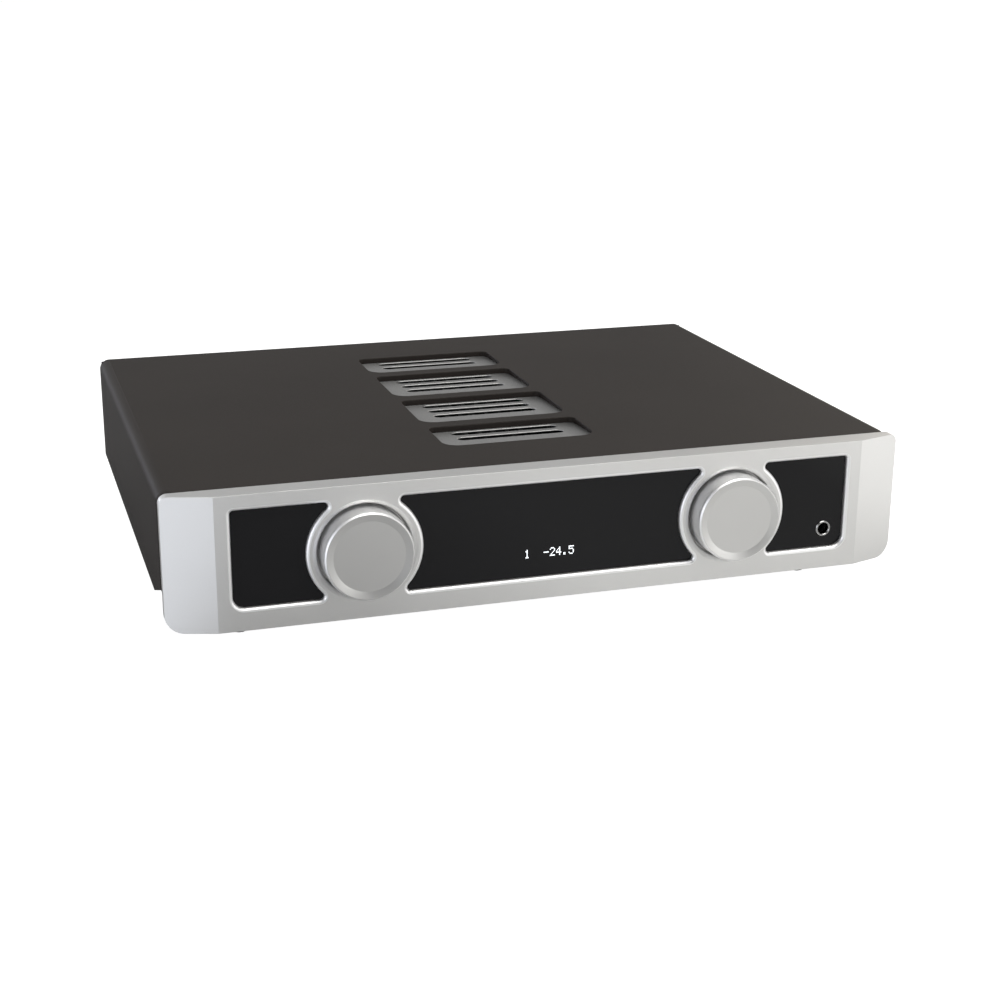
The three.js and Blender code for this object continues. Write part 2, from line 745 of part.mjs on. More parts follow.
// Two stacked phono sockets in one moulded block.
function phonoBlock(x) {
  const back = rear.front - gap;
  const middle = (phono.z[0] + phono.z[1]) / 2;
  const { halfWidth, halfHeight, depth } = phono.block;
  const body = block(
    [x - halfWidth, back - depth, middle - halfHeight], [x + halfWidth, back, middle + halfHeight]);
  const { radius, pin, pinDepth } = phono;
  const end = rear.connectorBack;
  const collars = phono.z.map((z) => rodY(radius, back - 1, end, 14).translate(x, 0, z));
  const holes = phono.z.map((z) => rodY(pin, end - pinDepth, end + 1, 8).translate(x, 0, z));
  return cut(join(body, ...collars), ...holes);
}

// ---- Mains inlet, rocker switch and fuse drawer ----

// A box behind the inlet's face, centred on a part of it.
function inletRoom(x, halfWidth, halfHeight, depth) {
  return block(
    [x - halfWidth, inlet.face - depth, inlet.z - halfHeight],
    [x + halfWidth, inlet.face + 1, inlet.z + halfHeight]);
}

// The three-pin recess, whose upper corners are cut off.
function powerRecess() {
  const right = power.width / 2;
  const high = power.height / 2;
  const { corner, depth } = power;
  const mouth = polygon([
    [-right, -high], [right, -high], [right, high - corner], [right - corner, high],
    [-right + corner, high], [-right, high - corner],
  ]);
  return alongY(mouth, inlet.face - depth, inlet.face + 1).translate(power.x, 0, inlet.z);
}

function powerPin([x, z]) {
  const back = inlet.face - power.depth;
  return block(
    [power.x + x - 1, back - 1, inlet.z + z - 2],
    [power.x + x + 1, back + 12, inlet.z + z + 2]);
}

function mainsInlet() {
  const { x, z, width, height, depth, flange, face } = inlet;
  const halfWidth = width / 2;
  const halfHeight = height / 2;
  const seat = rear.back + gap;
  const body = block(
    [x - halfWidth, seat - depth, z - halfHeight], [x + halfWidth, seat + 0.5, z + halfHeight]);
  const bezel = roundedRectangle(
    x - halfWidth - flange, z - halfHeight - flange, x + halfWidth + flange, z + halfHeight + flange, 2.5);
  const rockerRoom = inletRoom(rocker.x, rocker.width / 2 + 0.3, rocker.reach + 1.5, 13);
  const drawerRoom = inletRoom(drawer.x, drawer.width / 2 + 0.2, drawer.height / 2 + 0.2, drawer.depth + 1);
  const hollow = cut(join(body, alongY(bezel, seat, face)), powerRecess(), rockerRoom, drawerRoom);
  return join(hollow, ...power.pins.map(powerPin));
}

// The rocker's section is a shallow V on a round-ended bar, tipped to its rest position.
function powerRocker() {
  const { reach, width, pivot, tilt } = rocker;
  const rise = reach * Math.tan(THREE.MathUtils.degToRad(tilt));
  const centreHeight = 3;
  const section = polygon([
    [centreHeight, 0], [centreHeight + rise, reach], [0, reach + 0.6], [-2.5, reach - 0.8],
    [-5.5, 3], [-5.5, -3], [-2.5, -reach + 0.8], [0, -reach - 0.6], [centreHeight + rise, -reach],
  ]);
  const bar = alongX(section, -width / 2, width / 2);
  return bar.rotateX(THREE.MathUtils.degToRad(tilt)).translate(rocker.x, pivot, inlet.z);
}

const fuse = { radius: 2.5, length: 20, y: inlet.face - 9 };

function fuseDrawer() {
  const { x, width, height, depth } = drawer;
  const face = inlet.face;
  const low = inlet.z - height / 2;
  const high = inlet.z + height / 2;
  const body = block([x - width / 2, face - depth, low], [x + width / 2, face + 0.8, high]);
  const lip = block([x - 2.5, face + 0.5, low + 1.5], [x + 2.5, face + 2.4, low + 3.3]);
  const cradle = block(
    [x - fuse.radius - 0.4, fuse.y - fuse.radius - 0.4, inlet.z - fuse.length / 2 - 0.3],
    [x + width, fuse.y + fuse.radius + 0.4, inlet.z + fuse.length / 2 + 0.3]);
  return cut(join(body, lip), cradle);
}

function fuseBody() {
  const { radius, length, y } = fuse;
  const cap = 5;
  const half = length / 2;
  const tube = radius - 0.15;
  const profile = [
    [0, -half], [radius, -half], [radius, -half + cap], [tube, -half + cap],
    [tube, half - cap], [radius, half - cap], [radius, half], [0, half],
  ];
  return turnedZ(profile, 16).translate(drawer.x, y, inlet.z);
}

// A round lead from the mains inlet down to the transformer.
function mainsLead() {
  const start = rear.back - inlet.depth - 1.2;
  const path = new THREE.CatmullRomCurve3([
    new THREE.Vector3(inlet.x, start, inlet.z),
    new THREE.Vector3(inlet.x, start - 12, inlet.z - 4),
    new THREE.Vector3(toroid.x - 16, start - 28, 40),
    new THREE.Vector3(toroid.x - 8, toroid.y + toroid.radius + 4, 40),
  ]);
  const round = new THREE.Shape().absarc(0, 0, 2.6, 0, 2 * Math.PI);
  return new THREE.ExtrudeGeometry(round, {
    extrudePath: path, steps: 8, curveSegments: 4, bevelEnabled: false,
  });
}

// ---- Assembly ----

function buildFront() {
  place('front_plate', frontPlate(), 'silver');
  for (const { name, left, right } of windows) place(name, windowGlass(left, right), 'glass');
  place('display_module', displayModule(), 'display');
  place('headphone_jack', jackBody(), 'black');
  place('jack_ring', jackRing(), 'steel');
  place('jack_board', jackBoard(), 'board');
}

function buildKnobs() {
  for (const { name, sign } of sides) {
    const pieces = [
      ['knob', knobBody(), 'silver'],
      ['knob_screw', grubScrew(), 'steel'],
      ['encoder_shaft', encoderShaft(), 'steel'],
      ['encoder_plunger', encoderPlunger(), 'brass'],
      ['encoder_housing', encoderHousing(), 'black'],
      ['encoder_nut', encoderNut(), 'steel'],
    ];
    for (const [piece, geometry, look] of pieces) {
      place(`${piece}_${name}`, geometry.translate(sign * knob.x, 0, knob.z), look);
    }
  }
}

function buildCase() {
  place('top_cover', topCover(), 'charcoal');
  ventPlaces().forEach((spot, i) => place(`vent_grille_${i + 1}`, ventGrille(spot), 'ventGrey'));
  place('base_tray', baseTray(), 'charcoal');
  place('sub_panel', subPanel(), 'steel');
  place('rear_panel', rearPanel(), 'charcoal');
  screwPlaces.forEach(({ x, z }, i) => {
    place(`cover_screw_${i + 1}`, coverScrew().translate(x, 0, z), 'steel');
  });
  for (const { name, sign } of sides) {
    for (const end of ['front', 'back']) {
      place(`foot_${end}_${name}`, footBody().translate(sign * foot.x, foot[end], 0), 'silver');
      place(`foot_pad_${end}_${name}`, footPad().translate(sign * foot.x, foot[end], 0), 'rubber');
    }
  }
}

function buildElectronics() {
  place('control_board', controlBoardBody(), 'board');
  place('ribbon_cable', ribbonCable(), 'black');
  place('transformer', transformer(), 'copper');
  place('transformer_washer', transformerWasher(), 'steel');
  place('transformer_bolt', transformerBolt(), 'steel');
  place('amp_board', ampBoardBody(), 'board');
  place('heatsink', heatsink(), 'heatsink');
  capacitors.x.forEach((x, i) => place(`filter_capacitor_${i + 1}`, filterCapacitor(x), 'capacitor'));
  place('input_board', inputBoard(), 'board');
  phono.x.forEach((x, i) => place(`phono_block_${i + 1}`, phonoBlock(x), 'black'));
}

function buildMains() {
  place('mains_inlet', mainsInlet(), 'black');
  place('mains_lead', mainsLead(), 'black');
  place('power_rocker', powerRocker(), 'black');
  place('fuse_drawer', fuseDrawer(), 'black');
  place('fuse', fuseBody(), 'clear');
}

buildFront();
buildKnobs();
buildCase();
buildElectronics();
buildMains();

export default group;
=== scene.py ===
"""The looks of a headphone amplifier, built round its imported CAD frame.

Lengths in this script are millimetres until a mesh is made, when they are scaled to metres.
"""

import json
import math
from functools import lru_cache

import bmesh
import bpy
from mathutils import Matrix, Vector
from mathutils.geometry import tessellate_polygon

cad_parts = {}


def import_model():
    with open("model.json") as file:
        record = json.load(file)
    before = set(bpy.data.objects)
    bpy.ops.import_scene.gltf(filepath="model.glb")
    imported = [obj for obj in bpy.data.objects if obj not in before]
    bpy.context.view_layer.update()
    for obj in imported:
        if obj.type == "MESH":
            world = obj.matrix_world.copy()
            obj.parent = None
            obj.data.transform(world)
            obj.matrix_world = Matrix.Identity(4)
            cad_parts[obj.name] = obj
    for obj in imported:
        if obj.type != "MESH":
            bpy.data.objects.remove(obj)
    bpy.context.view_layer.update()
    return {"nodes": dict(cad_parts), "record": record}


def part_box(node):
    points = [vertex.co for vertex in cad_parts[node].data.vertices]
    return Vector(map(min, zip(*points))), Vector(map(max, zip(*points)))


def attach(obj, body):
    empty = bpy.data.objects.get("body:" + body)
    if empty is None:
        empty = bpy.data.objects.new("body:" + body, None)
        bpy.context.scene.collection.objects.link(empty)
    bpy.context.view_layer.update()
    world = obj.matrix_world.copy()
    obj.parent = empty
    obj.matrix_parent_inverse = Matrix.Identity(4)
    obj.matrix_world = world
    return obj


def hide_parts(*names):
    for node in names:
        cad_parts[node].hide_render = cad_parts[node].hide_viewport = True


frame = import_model()
NODES = frame["nodes"]

MM = 0.001
QUARTER = math.pi / 2
SHARP_ANGLE = math.radians(28)
FINE = 160  # points round a large turned piece
MEDIUM = 64
SMALL = 32


# ---- Places taken from the frame ----


@lru_cache(maxsize=None)
def mm_box(node):
    """A CAD node's lowest and highest corners in millimetres."""
    low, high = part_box(node)
    return low / MM, high / MM


def middle(node):
    low, high = mm_box(node)
    return (low + high) / 2


PLATE_LOW, PLATE_HIGH = mm_box("front_plate")
GLASS_LOW, GLASS_HIGH = mm_box("window_right")
COVER_LOW, COVER_HIGH = mm_box("top_cover")
KNOB_LOW, KNOB_HIGH = mm_box("knob_right")
KNOB = middle("knob_right")
KNOB_RADIUS = (KNOB_HIGH.x - KNOB_LOW.x) / 2
PLATE_FRONT = PLATE_LOW.y
PLATE_BACK = PLATE_HIGH.y
SHEET = 1.5

# The windows' openings, which the glass overlaps from behind by its rim.
GLASS_OVERLAP = 2.2
WINDOW_LOW = GLASS_LOW.z + GLASS_OVERLAP
WINDOW_HIGH = GLASS_HIGH.z - GLASS_OVERLAP
WINDOW_END = GLASS_HIGH.x - GLASS_OVERLAP
POCKET_RIM = 2.5
LIP = GLASS_LOW.y - PLATE_FRONT - 0.1


# ---- Mesh building ----


class Shell:
    """Rings of points in millimetres and the faces between them."""

    def __init__(self):
        self.points = []
        self.faces = []
        self.smooth = []
        self.slots = []

    def ring(self, points):
        start = len(self.points)
        self.points.extend(points)
        return list(range(start, len(self.points)))

    def face(self, indices, smooth=True, slot=0):
        self.faces.append(indices)
        self.smooth.append(smooth)
        self.slots.append(slot)

    def bridge(self, first, second, closed=True, smooth=True, slot=0):
        """Quads between two rings of the same length, or a fan when one is a single point."""
        longest = max(len(first), len(second))
        last = longest if closed else longest - 1
        for i in range(last):
            j = (i + 1) % longest
            if len(first) == 1:
                self.face([first[0], second[i], second[j]], smooth, slot)
            elif len(second) == 1:
                self.face([first[i], first[j], second[0]], smooth, slot)
            else:
                self.face([first[i], first[j], second[j], second[i]], smooth, slot)

    def chain(self, rings, closed=True, smooth=True, slot=0):
        for first, second in zip(rings, rings[1:]):
            self.bridge(first, second, closed, smooth, slot)

    def fill(self, outer, holes=(), slot=0):
        """A flat face inside one ring and outside the others."""
        loops = [outer, *holes]
        flat = [index for loop in loops for index in loop]
        polygons = [[Vector(self.points[index]) for index in loop] for loop in loops]
        for triangle in tessellate_polygon(polygons):
            self.face([flat[corner] for corner in triangle], False, slot)

    def make(self, name, *materials):
        mesh = bpy.data.meshes.new(name)
        mesh.from_pydata([Vector(point) * MM for point in self.points], [], self.faces)
        mesh.polygons.foreach_set("use_smooth", self.smooth)
        mesh.polygons.foreach_set("material_index", self.slots)
        for material in materials:
            mesh.materials.append(material)
        tidy_normals(mesh)
        return link(name, mesh)


def mark_sharp(mesh):
    """Marks the sharp edges, and keeps each face's own smooth or flat shading."""
    smooth = [face.use_smooth for face in mesh.polygons]
    mesh.set_sharp_from_angle(angle=SHARP_ANGLE)
    mesh.polygons.foreach_set("use_smooth", smooth)


def tidy_normals(mesh):
    """Turns all faces outwards and marks the sharp edges."""
    work = bmesh.new()
    work.from_mesh(mesh)
    bmesh.ops.remove_doubles(work, verts=work.verts, dist=1e-7)
    bmesh.ops.recalc_face_normals(work, faces=work.faces)
    work.to_mesh(mesh)
    work.free()
    mark_sharp(mesh)


def link(name, mesh):
    piece = bpy.data.objects.new(name, mesh)
    bpy.context.scene.collection.objects.link(piece)
    return piece


def apply_modifiers(piece):
    """Replaces a piece's mesh with the result of its modifiers."""
    graph = bpy.context.evaluated_depsgraph_get()
    mesh = bpy.data.meshes.new_from_object(piece.evaluated_get(graph))
    piece.modifiers.clear()
    piece.data = mesh
    return piece


def carve(piece, *tools):
    """Cuts closed tool objects out of a piece and removes them."""
    for tool in tools:
        cutter = piece.modifiers.new("cut", "BOOLEAN")
        cutter.object = tool
        cutter.operation = "DIFFERENCE"
        cutter.solver = "EXACT"
    apply_modifiers(piece)
    for tool in tools:
        bpy.data.objects.remove(tool)
    mark_sharp(piece.data)
    return piece


def arc(centre_x, centre_y, radius, start, end, steps):
    """Points along an arc, both ends included."""
    points = []
    for i in range(steps + 1):
        angle = start + (end - start) * i / steps
        points.append((centre_x + radius * math.cos(angle), centre_y + radius * math.sin(angle)))
    return points


def filleted(corners, steps=5):
    """A profile whose corners (x, y, radius) are rounded where a radius is given."""
    points = []
    for i, corner in enumerate(corners):
        here = Vector(corner[:2])
        radius = corner[2] if len(corner) > 2 else 0
        if not radius or i in (0, len(corners) - 1):
            points.append(tuple(here))
            continue
        to_last = (Vector(corners[i - 1][:2]) - here).normalized()
        to_next = (Vector(corners[i + 1][:2]) - here).normalized()
        half = to_last.angle(to_next) / 2
        reach = radius / math.tan(half)
        centre = here + (to_last + to_next).normalized() * radius / math.sin(half)
        first = here + to_last * reach - centre
        last = here + to_next * reach - centre
        start = math.atan2(first.y, first.x)
        turn = (math.atan2(last.y, last.x) - start + math.pi) % (2 * math.pi) - math.pi
        points.extend(arc(*centre, radius, start, start + turn, steps))
    return points


def around(shell, centre, axis, profile, steps):
    """Rings of a (radius, height) profile turned about an axis through a point, height along the axis."""
    if axis == "Y":
        across, up, along = Vector((1, 0, 0)), Vector((0, 0, 1)), Vector((0, 1, 0))
    else:
        across, up, along = Vector((1, 0, 0)), Vector((0, 1, 0)), Vector((0, 0, 1))
    rings = []
    for radius, height in profile:
        base = Vector(centre) + along * height
        if radius < 1e-6:
            rings.append(shell.ring([base]))
            continue
        angles = [2 * math.pi * i / steps for i in range(steps)]
        rings.append(shell.ring([base + radius * (across * math.cos(a) + up * math.sin(a)) for a in angles]))
    return rings


def turned(name, centre, axis, profile, steps, *materials, hollow=False):
    """A closed turned piece. A hollow profile closes on itself; any other starts and ends on the axis."""
    shell = Shell()
    rings = around(shell, centre, axis, profile, steps)
    shell.chain(rings)
    if hollow:
        shell.bridge(rings[-1], rings[0])
    return shell.make(name, *materials)


def rounded_rectangle(left, low, right, high, low_radius, high_radius, steps=10):
    """Corners anticlockwise from the lower right, each an arc."""
    return (
        arc(right - low_radius, low + low_radius, low_radius, -QUARTER, 0, steps)
        + arc(right - high_radius, high - high_radius, high_radius, 0, QUARTER, steps)
        + arc(left + high_radius, high - high_radius, high_radius, QUARTER, 2 * QUARTER, steps)
        + arc(left + low_radius, low + low_radius, low_radius, 2 * QUARTER, 3 * QUARTER, steps)
    )


def quarter_round(radius, steps=6):
    """(outward, downward) steps over a rounded edge, from the face to the wall."""
    angles = [QUARTER * i / steps for i in range(steps + 1)]
    return [(radius * (1 - math.sin(a)), radius * (1 - math.cos(a))) for a in angles]


# ---- Materials ----


def new_node(nodes, kind, **values):
    """A node whose inputs and settings are given by name."""
    made = nodes.new(kind)
    for key, value in values.items():
        if key in made.inputs:
            made.inputs[key].default_value = value
        else:
            setattr(made, key, value)
    return made


class Look:
    """A material's node tree, with short calls for the nodes this script uses."""

    def __init__(self, name, **values):
        self.material = bpy.data.materials.new(name)
        self.material.use_nodes = True
        self.nodes = self.material.node_tree.nodes
        self.links = self.material.node_tree.links
        self.shader = self.nodes["Principled BSDF"]
        for socket, value in values.items():
            self.set(socket.replace("_", " ").title(), value)

    def set(self, socket, value):
        full_name = "Specular IOR Level" if socket == "Specular" else socket
        self.shader.inputs[full_name].default_value = value

    def node(self, kind, **values):
        return new_node(self.nodes, kind, **values)

    def place(self):
        """Object coordinates, so that grain keeps its size in metres."""
        return self.node("ShaderNodeTexCoord").outputs["Object"]

    def noise(self, scale, detail=3.0):
        made = self.node("ShaderNodeTexNoise", Scale=scale, Detail=detail)
        self.links.new(self.place(), made.inputs["Vector"])
        return made.outputs["Fac"]

    def ramp(self, factor, stops):
        made = self.node("ShaderNodeValToRGB")
        elements = made.color_ramp.elements
        for i, (position, colour) in enumerate(stops):
            element = elements[i] if i < 2 else elements.new(position)
            element.position = position
            element.color = colour
        self.links.new(factor, made.inputs["Fac"])
        return made.outputs["Color"]

    def spread(self, factor, low, high, start=0.3, end=0.7):
        """A value that runs from low to high as the factor runs from start to end."""
        made = self.node("ShaderNodeMapRange")
        made.inputs["From Min"].default_value = start
        made.inputs["From Max"].default_value = end
        made.inputs["To Min"].default_value = low
        made.inputs["To Max"].default_value = high
        self.links.new(factor, made.inputs["Value"])
        return made.outputs["Result"]

    def into(self, output, socket):
        self.links.new(output, self.shader.inputs[socket])

    def bump(self, *heights):
        """Stacks bumps, each (factor, distance in metres, strength)."""
        normal = None
        for factor, distance, strength in heights:
            made = self.node("ShaderNodeBump", Strength=strength, Distance=distance)
            self.links.new(factor, made.inputs["Height"])
            if normal is not None:
                self.links.new(normal, made.inputs["Normal"])
            normal = made.outputs["Normal"]
        self.into(normal, "Normal")


def grey(value):
    return (value, value, value, 1)


def anodised(name, colour, roughness=0.45):
    """Bead-blasted, clear anodised aluminium: a fine even grain and a very slight tone change."""
    look = Look(name, base_color=colour, metallic=1.0, roughness=roughness)
    grain = look.noise(3600, 2.0)
    drift = look.noise(14, 2.0)
    look.into(look.spread(grain, roughness - 0.06, roughness + 0.08), "Roughness")
    darker = tuple(channel * 0.975 for channel in colour[:3]) + (1,)
    look.into(look.ramp(drift, [(0.35, darker), (0.65, colour)]), "Base Color")
    look.bump((grain, 0.00004, 0.4))
    return look.material


def powder_coat(name, colour, roughness=0.5, specular=0.14):
    """Satin powder coat: a faint orange peel, fine grit in the gloss and slight tone drift."""
    look = Look(name, base_color=colour, metallic=0.0, roughness=roughness, specular=specular)
    peel = look.noise(1500, 2.0)
    grit = look.noise(5200, 2.0)
    drift = look.noise(9, 3.0)
    lighter = tuple(channel * 1.15 for channel in colour[:3]) + (1,)
    look.into(look.ramp(drift, [(0.3, colour), (0.7, lighter)]), "Base Color")
    look.into(look.spread(grit, roughness - 0.06, roughness + 0.08), "Roughness")
    look.bump((peel, 0.00006, 0.25), (grit, 0.00003, 0.35))
    return look.material


def coat_with_painted_end_shade(name, colour):
    """A smoother satin coat whose colour darkens towards a piece's ends: painted shade, standing in for the
    shade a sunk floor has there.
    """
    look = Look(name, base_color=colour, roughness=0.34, specular=0.32)
    split = look.node("ShaderNodeSeparateXYZ")
    look.links.new(look.node("ShaderNodeTexCoord").outputs["Generated"], split.inputs["Vector"])
    # The darker colours at both ends are painted shade, not a change in the coat.
    painted_shade_dark = tuple(channel * 0.3 for channel in colour[:3]) + (1,)
    low = tuple(channel * 0.7 for channel in colour[:3]) + (1,)
    stops = [(0.0, low), (0.07, colour), (0.84, colour), (0.97, painted_shade_dark)]
    look.into(look.ramp(split.outputs["X"], stops), "Base Color")
    peel = look.noise(1500, 2.0)
    look.into(look.spread(look.noise(5200, 2.0), 0.25, 0.38), "Roughness")
    look.bump((peel, 0.00006, 0.2))
    return look.material


def gloss_panel(name, colour):
    """Polished black acrylic with a very slight waviness."""
    look = Look(name, base_color=colour, roughness=0.05, specular=0.2)
    wave = look.noise(28, 1.0)
    haze = look.noise(90, 3.0)
    look.into(look.spread(haze, 0.04, 0.09), "Roughness")
    look.bump((wave, 0.00004, 0.12))
    return look.material


def moulded(name, colour, roughness=0.5):
    """Moulded plastic with a fine spark-eroded texture."""
    look = Look(name, base_color=colour, roughness=roughness)
    texture = look.noise(3500, 3.0)
    look.into(look.spread(texture, roughness - 0.08, roughness + 0.08), "Roughness")
    look.bump((texture, 0.00004, 0.3))
    return look.material


def rubber(name):
    look = Look(name, base_color=grey(0.02), roughness=0.85)
    texture = look.noise(1800, 4.0)
    look.into(look.ramp(texture, [(0.3, grey(0.015)), (0.7, grey(0.03))]), "Base Color")
    look.bump((texture, 0.00008, 0.4))
    return look.material


def plated(name, colour, roughness=0.22):
    """Bright plated metal with faint turning marks and a mottled gloss."""
    look = Look(name, base_color=colour, metallic=1.0, roughness=roughness)
    mottle = look.noise(900, 3.0)
    look.into(look.spread(mottle, roughness - 0.06, roughness + 0.1), "Roughness")
    look.bump((mottle, 0.00002, 0.2))
    return look.material


def circuit_board(name):
    """Green solder mask with paler tracks under it."""
    look = Look(name, base_color=(0.02, 0.1, 0.05, 1), roughness=0.35)
    tracks = look.node("ShaderNodeTexBrick", Scale=160.0)
    look.links.new(look.place(), tracks.inputs["Vector"])
    tracks.inputs["Color1"].default_value = (0.015, 0.09, 0.04, 1)
    tracks.inputs["Color2"].default_value = (0.02, 0.13, 0.06, 1)
    tracks.inputs["Mortar"].default_value = (0.05, 0.22, 0.1, 1)
    look.into(tracks.outputs["Color"], "Base Color")
    look.bump((tracks.outputs["Fac"], 0.00005, 0.4))
    return look.material


def taped_winding(name):
    """Overlapping turns of amber tape round a toroid."""
    look = Look(name, base_color=(0.32, 0.16, 0.05, 1), roughness=0.25, coat_weight=0.4)
    bands = look.node("ShaderNodeTexWave", Scale=95.0, Distortion=1.5)
    look.links.new(look.place(), bands.inputs["Vector"])
    tape = [(0.2, (0.22, 0.1, 0.03, 1)), (0.8, (0.42, 0.22, 0.08, 1))]
    look.into(look.ramp(bands.outputs["Fac"], tape), "Base Color")
    look.bump((bands.outputs["Fac"], 0.0002, 0.4))
    return look.material


def glowing_digits(name):
    look = Look(name, base_color=grey(0.8), roughness=0.4)
    shimmer = look.noise(700, 1.0)
    look.set("Emission Color", (0.86, 0.94, 1.0, 1))
    look.into(look.spread(shimmer, 1.1, 1.4), "Emission Strength")
    return look.material


def clear_glass(name):
    look = Look(name, base_color=grey(0.95), roughness=0.04)
    look.set("IOR", 1.45)
    look.set("Transmission Weight", 1.0)
    smear = look.noise(400, 2.0)
    look.into(look.spread(smear, 0.03, 0.08), "Roughness")
    return look.material


SILVER = anodised("silver_anodised", (0.71, 0.71, 0.705, 1))
# A lighter copy of the silver for the machined edges and the knobs' sides: its extra lightness is a painted
# highlight.
CUT_EDGE_PAINTED_HIGHLIGHT = anodised("cut_edge_painted_highlight", (0.90, 0.90, 0.905, 1), 0.44)
KNOB_SILVER = anodised("knob_anodised", (0.62, 0.62, 0.615, 1), 0.34)
CHARCOAL = powder_coat("charcoal_powder_coat", (0.0235, 0.0198, 0.0178, 1), 0.5, 0.10)
# The vent floors' coat carries painted shade at its ends.
VENT_GREY = coat_with_painted_end_shade("vent_grey_coat_painted_shade", grey(0.175))
# The slots' rolled edges in a lighter plated grey: a painted highlight along each slot.
VENT_EDGE_PAINTED_HIGHLIGHT = plated("vent_slot_edge_painted_highlight", grey(0.40), 0.32)
GLASS = gloss_panel("gloss_black_panel", (0.008, 0.008, 0.009, 1))
STEEL = plated("zinc_steel", grey(0.6), 0.3)
CHROME = plated("nickel_ring", grey(0.34), 0.12)
GOLD = plated("gold_contact", (0.83, 0.6, 0.26, 1), 0.2)
BRASS = plated("brass", (0.7, 0.5, 0.25, 1), 0.3)
BLACK_PLASTIC = moulded("black_moulding", grey(0.02))
WHITE_PLASTIC = moulded("white_insulator", grey(0.7), 0.4)
RED_PLASTIC = moulded("red_insulator", (0.45, 0.015, 0.015, 1), 0.4)
RUBBER = rubber("foot_rubber")
BOARD = circuit_board("green_board")
WINDING = taped_winding("amber_winding")
SLEEVE = moulded("capacitor_sleeve", (0.02, 0.025, 0.045, 1), 0.25)
BLACK_ANODISED = anodised("black_anodised", grey(0.025), 0.6)
CLEAR = clear_glass("fuse_glass")
DIGITS = glowing_digits("display_glow")

CAD_LOOKS = {
    "silver": SILVER, "window": GLASS, "charcoal": CHARCOAL, "vent_grey": VENT_GREY,
    "steel": STEEL, "black_plastic": BLACK_PLASTIC, "brass": BRASS, "board": BOARD,
    "rubber": RUBBER, "winding": WINDING, "capacitor_sleeve": SLEEVE,
    "black_aluminium": BLACK_ANODISED, "fuse_glass": CLEAR, "display": GLASS,
}


def dress_cad_nodes():
    """Gives every CAD node that stays in view the material of its slot."""
    for row in frame["record"]["subparts"]:
        slots = NODES[row["node"]].data.materials
        slots.clear()
        slots.append(CAD_LOOKS[row["material_slot"]])


def finish_piece(piece, body, slot, *nodes):
    """Rides a piece on its body and lets it stand for its CAD nodes."""
    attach(piece, body)
    if nodes:
        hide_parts(*nodes)
    return piece


# ---- Front plate ----

PLATE_FOLD = 188.0  # where the ends start to sweep back
PLATE_END_THICKNESS = 5.5
PLATE_TOP_CORNER = 5.0
PLATE_LOW_CORNER = 10.0
PLATE_EDGE = 0.18
WINDOW_EDGE = 2.0  # radius of the rounded edge round each window
WINDOW_TIP = 2.2  # radius of the corners beside the knobs
WINDOW_BEND = 32.5  # radius of the ends that bend round the knobs
WINDOW_TOP_CORNER = 2.0
WINDOW_LOW_CORNER = 6.5
CORNER_STEPS = 14
WELL_MOUTH = 29.0
WELL_RADIUS = 26.0
WELL_DEPTH = 7.5
COVE_DEPTH = 2.5
NUT_ROOM = 9.0  # radius of the hole through the plate behind each knob


def bent_end(knob_x, side, upward, grow):
    """A window's end that bends round a knob: a small arc, the big arc back, and a small arc."""
    tip = WINDOW_TIP + grow
    bend = WINDOW_BEND - grow
    tips = []
    for z in (WINDOW_LOW - grow + tip, WINDOW_HIGH + grow - tip):
        tips.append((knob_x + side * math.sqrt((bend + tip) ** 2 - (z - KNOB.z) ** 2), z))
    first, last = tips if upward else tips[::-1]
    to_first = math.atan2(first[1] - KNOB.z, first[0] - knob_x)
    to_last = math.atan2(last[1] - KNOB.z, last[0] - knob_x)
    start = QUARTER
    end = -QUARTER + math.tau
    half_turn = math.pi
    if upward:
        to_first %= math.tau
        to_last %= math.tau
        start = -QUARTER
        end = QUARTER
        half_turn = -math.pi
    return (
        arc(*first, tip, start, to_first + half_turn, CORNER_STEPS)
        + arc(knob_x, KNOB.z, bend, to_first, to_last, 4 * CORNER_STEPS)[1:-1]
        + arc(*last, tip, to_last + half_turn, end, CORNER_STEPS)
    )


def straight_end(x, side, upward, grow):
    """A window's upright end, with a small upper corner and a large lower one."""
    low = WINDOW_LOW - grow
    high = WINDOW_HIGH + grow
    top = WINDOW_TOP_CORNER + grow
    bottom = WINDOW_LOW_CORNER + grow
    end = x + side * grow
    if upward:
        return (
            arc(end - bottom, low + bottom, bottom, -QUARTER, 0, CORNER_STEPS)
            + arc(end - top, high - top, top, 0, QUARTER, CORNER_STEPS)
        )
    return (
        arc(end + top, high - top, top, QUARTER, 2 * QUARTER, CORNER_STEPS)
        + arc(end + bottom, low + bottom, bottom, 2 * QUARTER, 3 * QUARTER, CORNER_STEPS)
    )


def window_outline(left, right, grow):
    """A window's outline, anticlockwise, grown outwards. Each end is (x, whether it bends round a knob)."""
    points = []
    for (x, bends), side, upward in ((right, 1, True), (left, -1, False)):
        if bends:
            points += bent_end(x, -side, upward, grow)
        else:
            points += straight_end(x, side, upward, grow)
    return points


WINDOWS = [
    ((-WINDOW_END, False), (-KNOB.x, True)),
    ((-KNOB.x, True), (KNOB.x, True)),
    ((KNOB.x, True), (WINDOW_END, False)),
]


def plate_face(x):
    """Where the front face lies at x: it sweeps back past the fold."""
    share = max(0.0, (abs(x) - PLATE_FOLD) / (PLATE_HIGH.x - PLATE_FOLD))
    return PLATE_FRONT + share * (PLATE_BACK - PLATE_END_THICKNESS - PLATE_FRONT)


def plate_outline(inset):
    """The plate's outline, with points where the face folds."""
    low = PLATE_LOW.z + inset
    high = PLATE_HIGH.z - inset
    side = PLATE_HIGH.x - inset
    bottom = PLATE_LOW_CORNER - inset
    top = PLATE_TOP_CORNER - inset
    right = [(PLATE_FOLD, low)]
    right += arc(side - bottom, low + bottom, bottom, -QUARTER, 0, 24)
    right += arc(side - top, high - top, top, 0, QUARTER, 16)
    right += [(PLATE_FOLD, high)]
    return right + [(-x, z) for x, z in reversed(right)]


